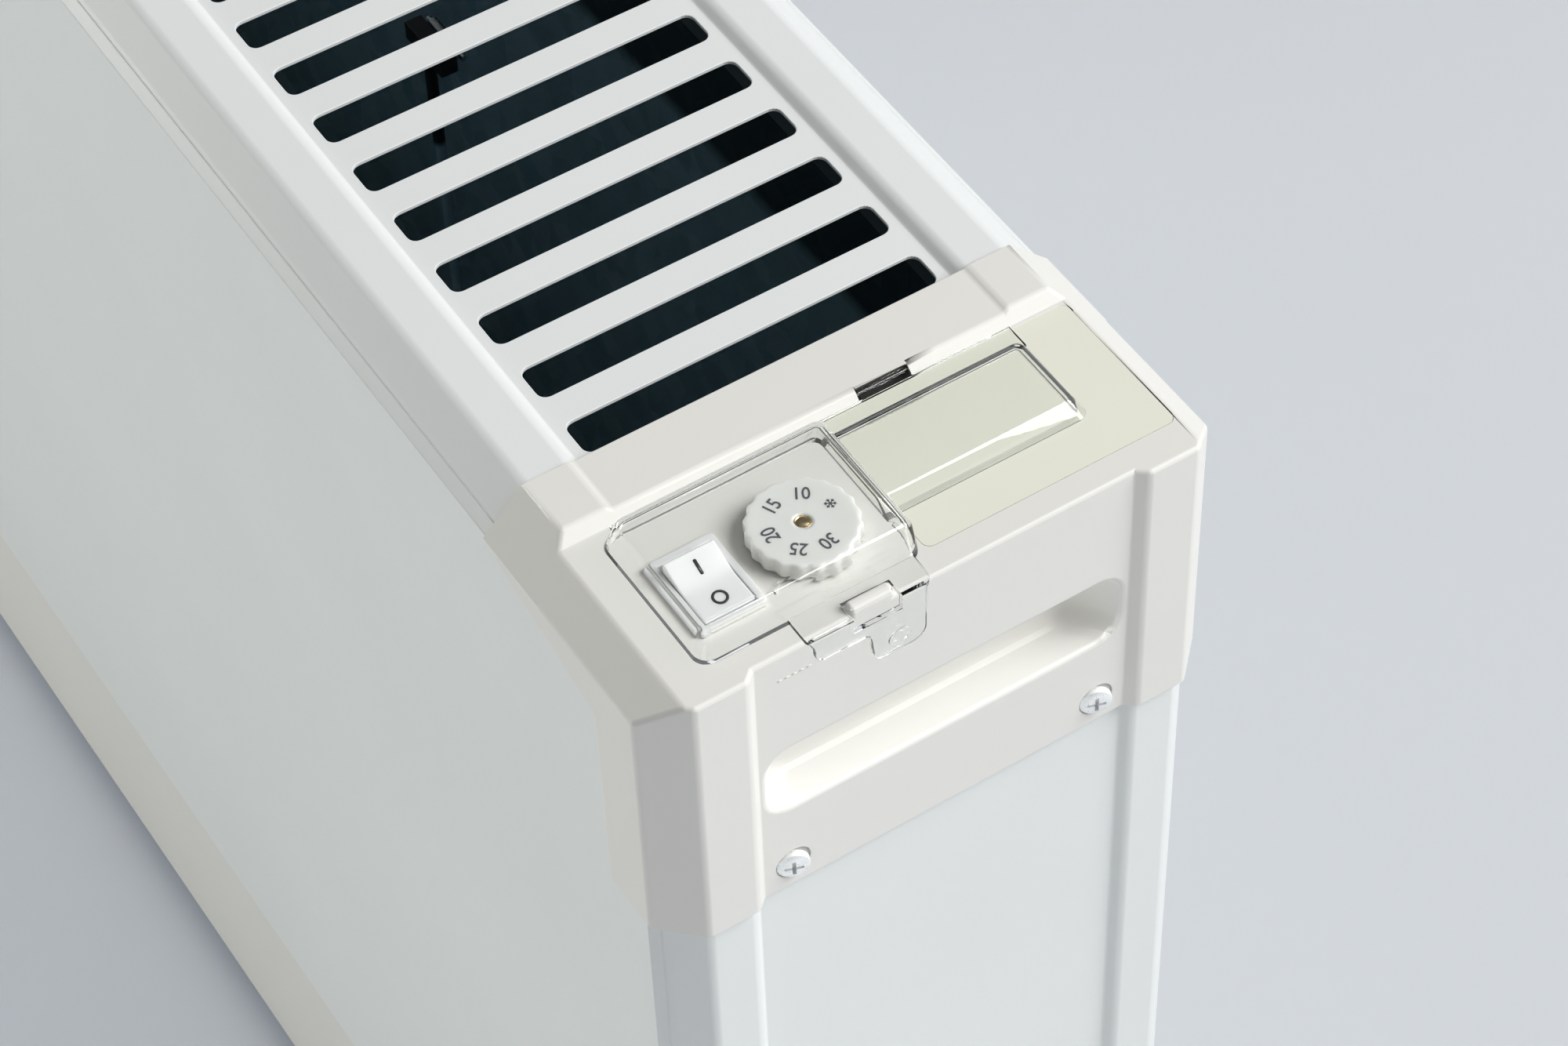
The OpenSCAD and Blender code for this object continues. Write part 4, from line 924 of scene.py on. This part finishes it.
def screw_item(name, head, dome, shank, length):
    """Pan head screw with a cross, along Z with its seat at zero. Sizes in millimetres."""
    brim = dome * 0.35
    profile = [(0, -length), (shank * 0.7, -length), (shank, -length + 0.6), (shank, 0), (head, 0),
               (head, brim)]
    for i in range(1, 6):
        a = math.radians(90 * i / 6)
        part = 1 - 0.28 * (1 - math.cos(a)) if i < 3 else math.cos(a) ** 0.62
        profile.append((head * part, dome * (0.35 + 0.65 * math.sin(a))))
    profile.append((0, dome))
    item = unpainted(name, lathe(in_metres(profile), 32))
    reach, half = head * 0.56, 0.42
    arm = in_metres(oblong(-reach, -half, reach, half))
    arms = [moved(prism(arm, brim * MM, 4 * MM, "z"), Matrix.Rotation(turn, 4, "Z"))
            for turn in (0, math.pi / 2)]
    cutter = unpainted("cross", joined(*arms))
    carve = item.modifiers.new("cross", "BOOLEAN")
    carve.operation = "DIFFERENCE"
    carve.solver = "EXACT"
    carve.use_self = True
    carve.object = cutter
    done = evaluated(item)
    bpy.data.objects.remove(item)
    bpy.data.objects.remove(cutter)
    done.name = name
    return link(name, done)


def sharp_edges(piece):
    """Keeps hard corners crisp on a smooth mesh."""
    limit = math.radians(35)
    bm = opened(piece.data)
    for face in bm.faces:
        face.smooth = True
    for edge in bm.edges:
        edge.smooth = len(edge.link_faces) == 2 and edge.calc_face_angle(0) < limit
    stored(bm, piece.data)
    return piece


def screw_set(node, name, item, points, turn, material):
    dress(sharp_edges(repeated(name, item, points, turn, material)), "casing", "zinc", node)


def screws():
    """Screws of the caps, of the intake plate and of the rear panel."""
    quarter, head, shank = math.pi / 2, 3.2, 1.6
    pan = screw_item("pan_screw", 3.7, 2.2, shank, 8.0)
    for side, node, name in ((1, "control_cap_screws", "right_cap_screws"),
                             (-1, "plain_cap_screws", "left_cap_screws")):
        points = [at(-2.7, y, -68.0, side) for y in (-38.05, 38.05)]
        screw_set(node, name, pan, points, (0.35, side * quarter, 0), BRIGHT_ZINC)
    small = screw_item("plate_screw", head, 2.0, shank, 14.0)
    low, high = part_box("plinth_screws")
    points = [(x, y, high.z - 0.002) for x in (low.x + head * MM, high.x - head * MM)
              for y in (low.y + head * MM, high.y - head * MM)]
    screw_set("plinth_screws", "intake_screws", small, points, (0, 0, 0), ZINC)
    flat = screw_item("panel_screw", head, 0.8, shank, 7.0)
    low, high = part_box("panel_screws")
    points = [(x, high.y - 0.0008, (low.z + high.z) / 2) for x in (low.x + head * MM, high.x - head * MM)]
    screw_set("panel_screws", "rear_panel_screws", flat, points, (-quarter, 0, 0), ZINC)
    for item in (pan, small, flat):
        bpy.data.objects.remove(item)


# Plinth, feet and the parts inside

def plinth():
    """The plinth, rounded outside and at its foot."""
    size, inner_y, inner_x, foot = 0.6, 0.0655, 0.329, 0.0085

    def rule(edge, angle, place):
        x, y, z = edge.verts[0].co.lerp(edge.verts[1].co, 0.5)
        return 0.0 if abs(y) < inner_y and abs(x) < inner_x and z > foot else size

    piece = eased_copy("plinth", "plinth_shell", PLINTH, rule, widest=size, segments=3)
    dress(piece, "casing", "white_plastic", "plinth")


def eased_nodes():
    """Plain parts whose edges only need easing."""
    for node, slot, material, size in (
            ("switch_housing", "switch_white", RIM, 0.25), ("cord_gland", "black_plastic", BLACK, 0.5),
            ("terminal_block", "ceramic", TERMINAL, 0.4),
            ("thermal_cutout", "galvanised_steel", ALUMINIUM, 0.3),
            ("gland_nut", "black_plastic", BLACK, 0.4)):
        def rule(edge, angle, place, size=size):
            return size if abs(angle) > 40 else 0.0
        piece = eased_copy(node, node + "_eased", material, rule, widest=size, segments=2)
        dress(piece, "casing", slot, node)


def fins():
    """Thin fins with folded top and bottom edges and pressed collars round the tube."""
    low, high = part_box("heater_fins")
    count, pitch, thick = 39, 0.012, 0.0008
    first = -(count - 1) / 2 * pitch
    half_y, half_z, middle = (high.y - low.y) / 2, (high.z - low.z) / 2, (high.z + low.z) / 2
    corner, lip, tube_y = 0.004, 0.003, 0.018
    parts = [prism(rounded(2 * half_y, 2 * half_z, corner, 4), -thick / 2, thick / 2, "x")]
    for y in (-tube_y, tube_y):
        collar = lathe([(0.00425, -0.0004), (0.0052, -0.0004), (0.0052, 0.0), (0.0047, 0.0032),
                        (0.00425, 0.0032)], 24)
        parts.append(moved(collar, Matrix.Translation((0, y, 0)) @ Matrix.Rotation(math.pi / 2, 4, "Y")))
    reach = half_y - corner
    for z in (-half_z, half_z - thick):
        parts.append(prism(oblong(-reach, z, reach, z + thick), -thick / 2, lip, "x"))
    item = unpainted("fin", joined(*parts))
    points = [(first + i * pitch, 0, middle) for i in range(count)]
    piece = sharp_edges(repeated("fin_stack", item, points, (0, 0, 0), ALUMINIUM))
    bpy.data.objects.remove(item)
    dress(piece, "casing", "aluminium", "heater_fins")


def wires():
    """Insulated wires between the parts behind the right partition. Points in millimetres."""
    runs = (
        ("wire_brown", "brown_wire",
         ((277.5, 45, 120), (277.5, 45, 141), (279.5, 52, 350.4), (302.8, -21.7, 380.4),
          (302.8, -38.2, 398.4), (302.8, -38.2, 410.4))),
        ("wire_switch", "black_wire",
         ((308.8, -38.2, 410.4), (308.8, -38.2, 398.4), (306.8, -27.7, 394.4), (306.8, -23.1, 401.5),
          (306.8, -23.1, 413.5))),
        ("wire_thermostat", "black_wire",
         ((299.8, -21.1, 413.5), (299.8, -21.1, 393.5), (289.5, -24, 305), (289.5, -25, 280),
          (285.9, -25, 275))),
        ("wire_heater", "black_wire",
         ((285.9, -35, 275), (290.5, -35, 265), (291.5, -18, 185.2), (291.5, -18, 168.2))),
        ("wire_blue", "blue_wire",
         ((277.5, 33, 120), (277.5, 33, 131), (291.5, 18, 185.2), (291.5, 18, 168.2))),
        ("wire_earth", "green_wire",
         ((277.5, 21, 120), (277.5, 21, 127), (277.5, -10, 127), (277.5, -34, 121), (277.5, -34, 115))))
    for name, colour, points in runs:
        piece = wire(name, [Vector(p) * MM for p in points], 1.2 * MM, 12 * MM, WIRES[colour])
        dress(piece, "casing", "wire_sleeve", *(["wiring"] if name == "wire_brown" else []))


def cad_finishes():
    """Finishes of the parts whose CAD shape stays."""
    for material, nodes in (
            (GALVANISED, "intake_plate lower_rails right_partition left_partition front_heat_shield "
                         "bulb_clips"),
            (PAINTED_SHADE_STEEL, "rear_heat_shield"), (STRAP_STEEL, "tube_support"), (TUBE, "heater_tube"),
            (CERAMIC, "heater_bushings"), (BLACK, "thermostat_body"), (COPPER, "capillary_bulb"),
            (RUBBER, "rubber_feet"), (BRASS, "earth_stud"),
            (ZINC, "switch_terminals heater_terminals support_screws overheat_link foot_screws")):
        for node in nodes.split():
            mesh = NODES[node].data
            for i in range(len(mesh.materials)):
                mesh.materials[i] = material
            if not mesh.materials:
                mesh.materials.append(material)


# Stage, lamps and camera

def floor_paper():
    """Matt grey paper, with painted light that makes it lighter in front of the casing."""
    material, tree, face, _ = shader("floor_paper")
    # Painted light: a paler colour in front of the casing, where the casing's shadow falls
    front = spread(tree, object_axes(tree)[1], 1.0, 0.0, -0.08, 0.15, soft=True)
    # Painted light: the paper in front also glows a little, seen by the camera alone
    ray = tree.nodes.new("ShaderNodeLightPath").outputs
    lift = arithmetic(tree, "MULTIPLY", front, ray["Is Camera Ray"])
    feed(tree, face, {
        "Base Color": blend_colour(tree, front, (0.592, 0.616, 0.645), (0.93, 0.96, 1.0)),
        "Roughness": 0.9, "Specular IOR Level": 0.1, "Emission Color": (0.67, 0.76, 1.0, 1),
        "Emission Strength": spread(tree, lift, 0.0, 0.10, 0.0, 1.0)})
    return material


def floor():
    """A pale floor under the feet."""
    bm = bmesh.new()
    bmesh.ops.create_grid(bm, x_segments=1, y_segments=1, size=9.0)
    piece_of("studio_floor", bm, floor_paper())


def lamp(name, azimuth, height, level, size, tall=0.0, tint=(1.0, 1.0, 1.0)):
    """A soft panel aimed at the casing. Level 1 alone shows a facing white as it is written."""
    distance = 3.6
    light = bpy.data.lights.new(name, "AREA")
    light.shape = "RECTANGLE"
    light.size = size
    light.size_y = tall or size
    light.color = tint
    light.energy = level * math.pi ** 2 * distance ** 2
    panel = link(name, light)
    a, e = math.radians(azimuth), math.radians(height)
    way = Vector((math.cos(e) * math.cos(a), math.cos(e) * math.sin(a), math.sin(e)))
    aim = Vector((0.0, 0.0, 0.33))
    panel.location = aim + way * distance
    panel.rotation_euler = way.to_track_quat("Z", "Y").to_euler()
    panel.visible_camera = False


def lights():
    """Soft lamps and a dim room."""
    lamp("key", 52, 42, 1.14, 2.2)
    lamp("overhead", 0, 85, 0.09, 2.2)
    lamp("right_side", 25, 20, 0.08, 2.2)
    lamp("front_left", 210, 1, 0.75, 2.2, 0.7, (1.0, 1.0, 0.94))
    lamp("front_right", 305, 5, 0.10, 1.6)
    world = bpy.data.worlds.new("studio")
    bpy.context.scene.world = world
    world.use_nodes = True
    tree = world.node_tree
    back = feed(tree, tree.nodes["Background"], {"Color": (0.90, 0.95, 1.0, 1), "Strength": 0.09})
    seen = added(tree, "ShaderNodeBackground", {"Color": (0.62, 0.65, 0.69, 1)})
    # The camera sees the room in full, clear and glossy surfaces only a little of it
    ray = tree.nodes.new("ShaderNodeLightPath").outputs
    indirect = arithmetic(tree, "MAXIMUM", ray["Is Transmission Ray"], ray["Is Glossy Ray"])
    dimmed = arithmetic(tree, "MULTIPLY", indirect, 0.12)
    shown = arithmetic(tree, "MAXIMUM", ray["Is Camera Ray"], dimmed)
    either(tree, shown, back.outputs["Background"], seen.outputs["Background"],
           tree.nodes["World Output"])


def camera():
    """The view from above the right end, solved from the lines of the slots, rails and end edges."""
    view = bpy.data.cameras.new("view")
    view.lens = 97.39
    view.sensor_width = 36.0
    view.clip_end = 50.0
    eye = link("view", view)
    right = Vector((0.541, 0.8406, -0.0273)).normalized()
    back = Vector((0.5562, -0.3332, 0.7613)).normalized()
    up = back.cross(right).normalized()
    right = up.cross(back)
    turn = Matrix((right, up, back)).transposed().to_4x4()
    eye.matrix_world = Matrix.Translation((0.77030, -0.30048, 1.07613)) @ turn
    bpy.context.scene.camera = eye


camera()
top_grille()
panels()
seam_fillers()
caps()
name_plate()
moulding_marks()
clear_cover()
dial()
dial_marks()
spindle()
pointer()
rocker()
screws()
plinth()
eased_nodes()
fins()
wires()
cad_finishes()
floor()
lights()
bpy.context.scene.view_settings.view_transform = "Standard"
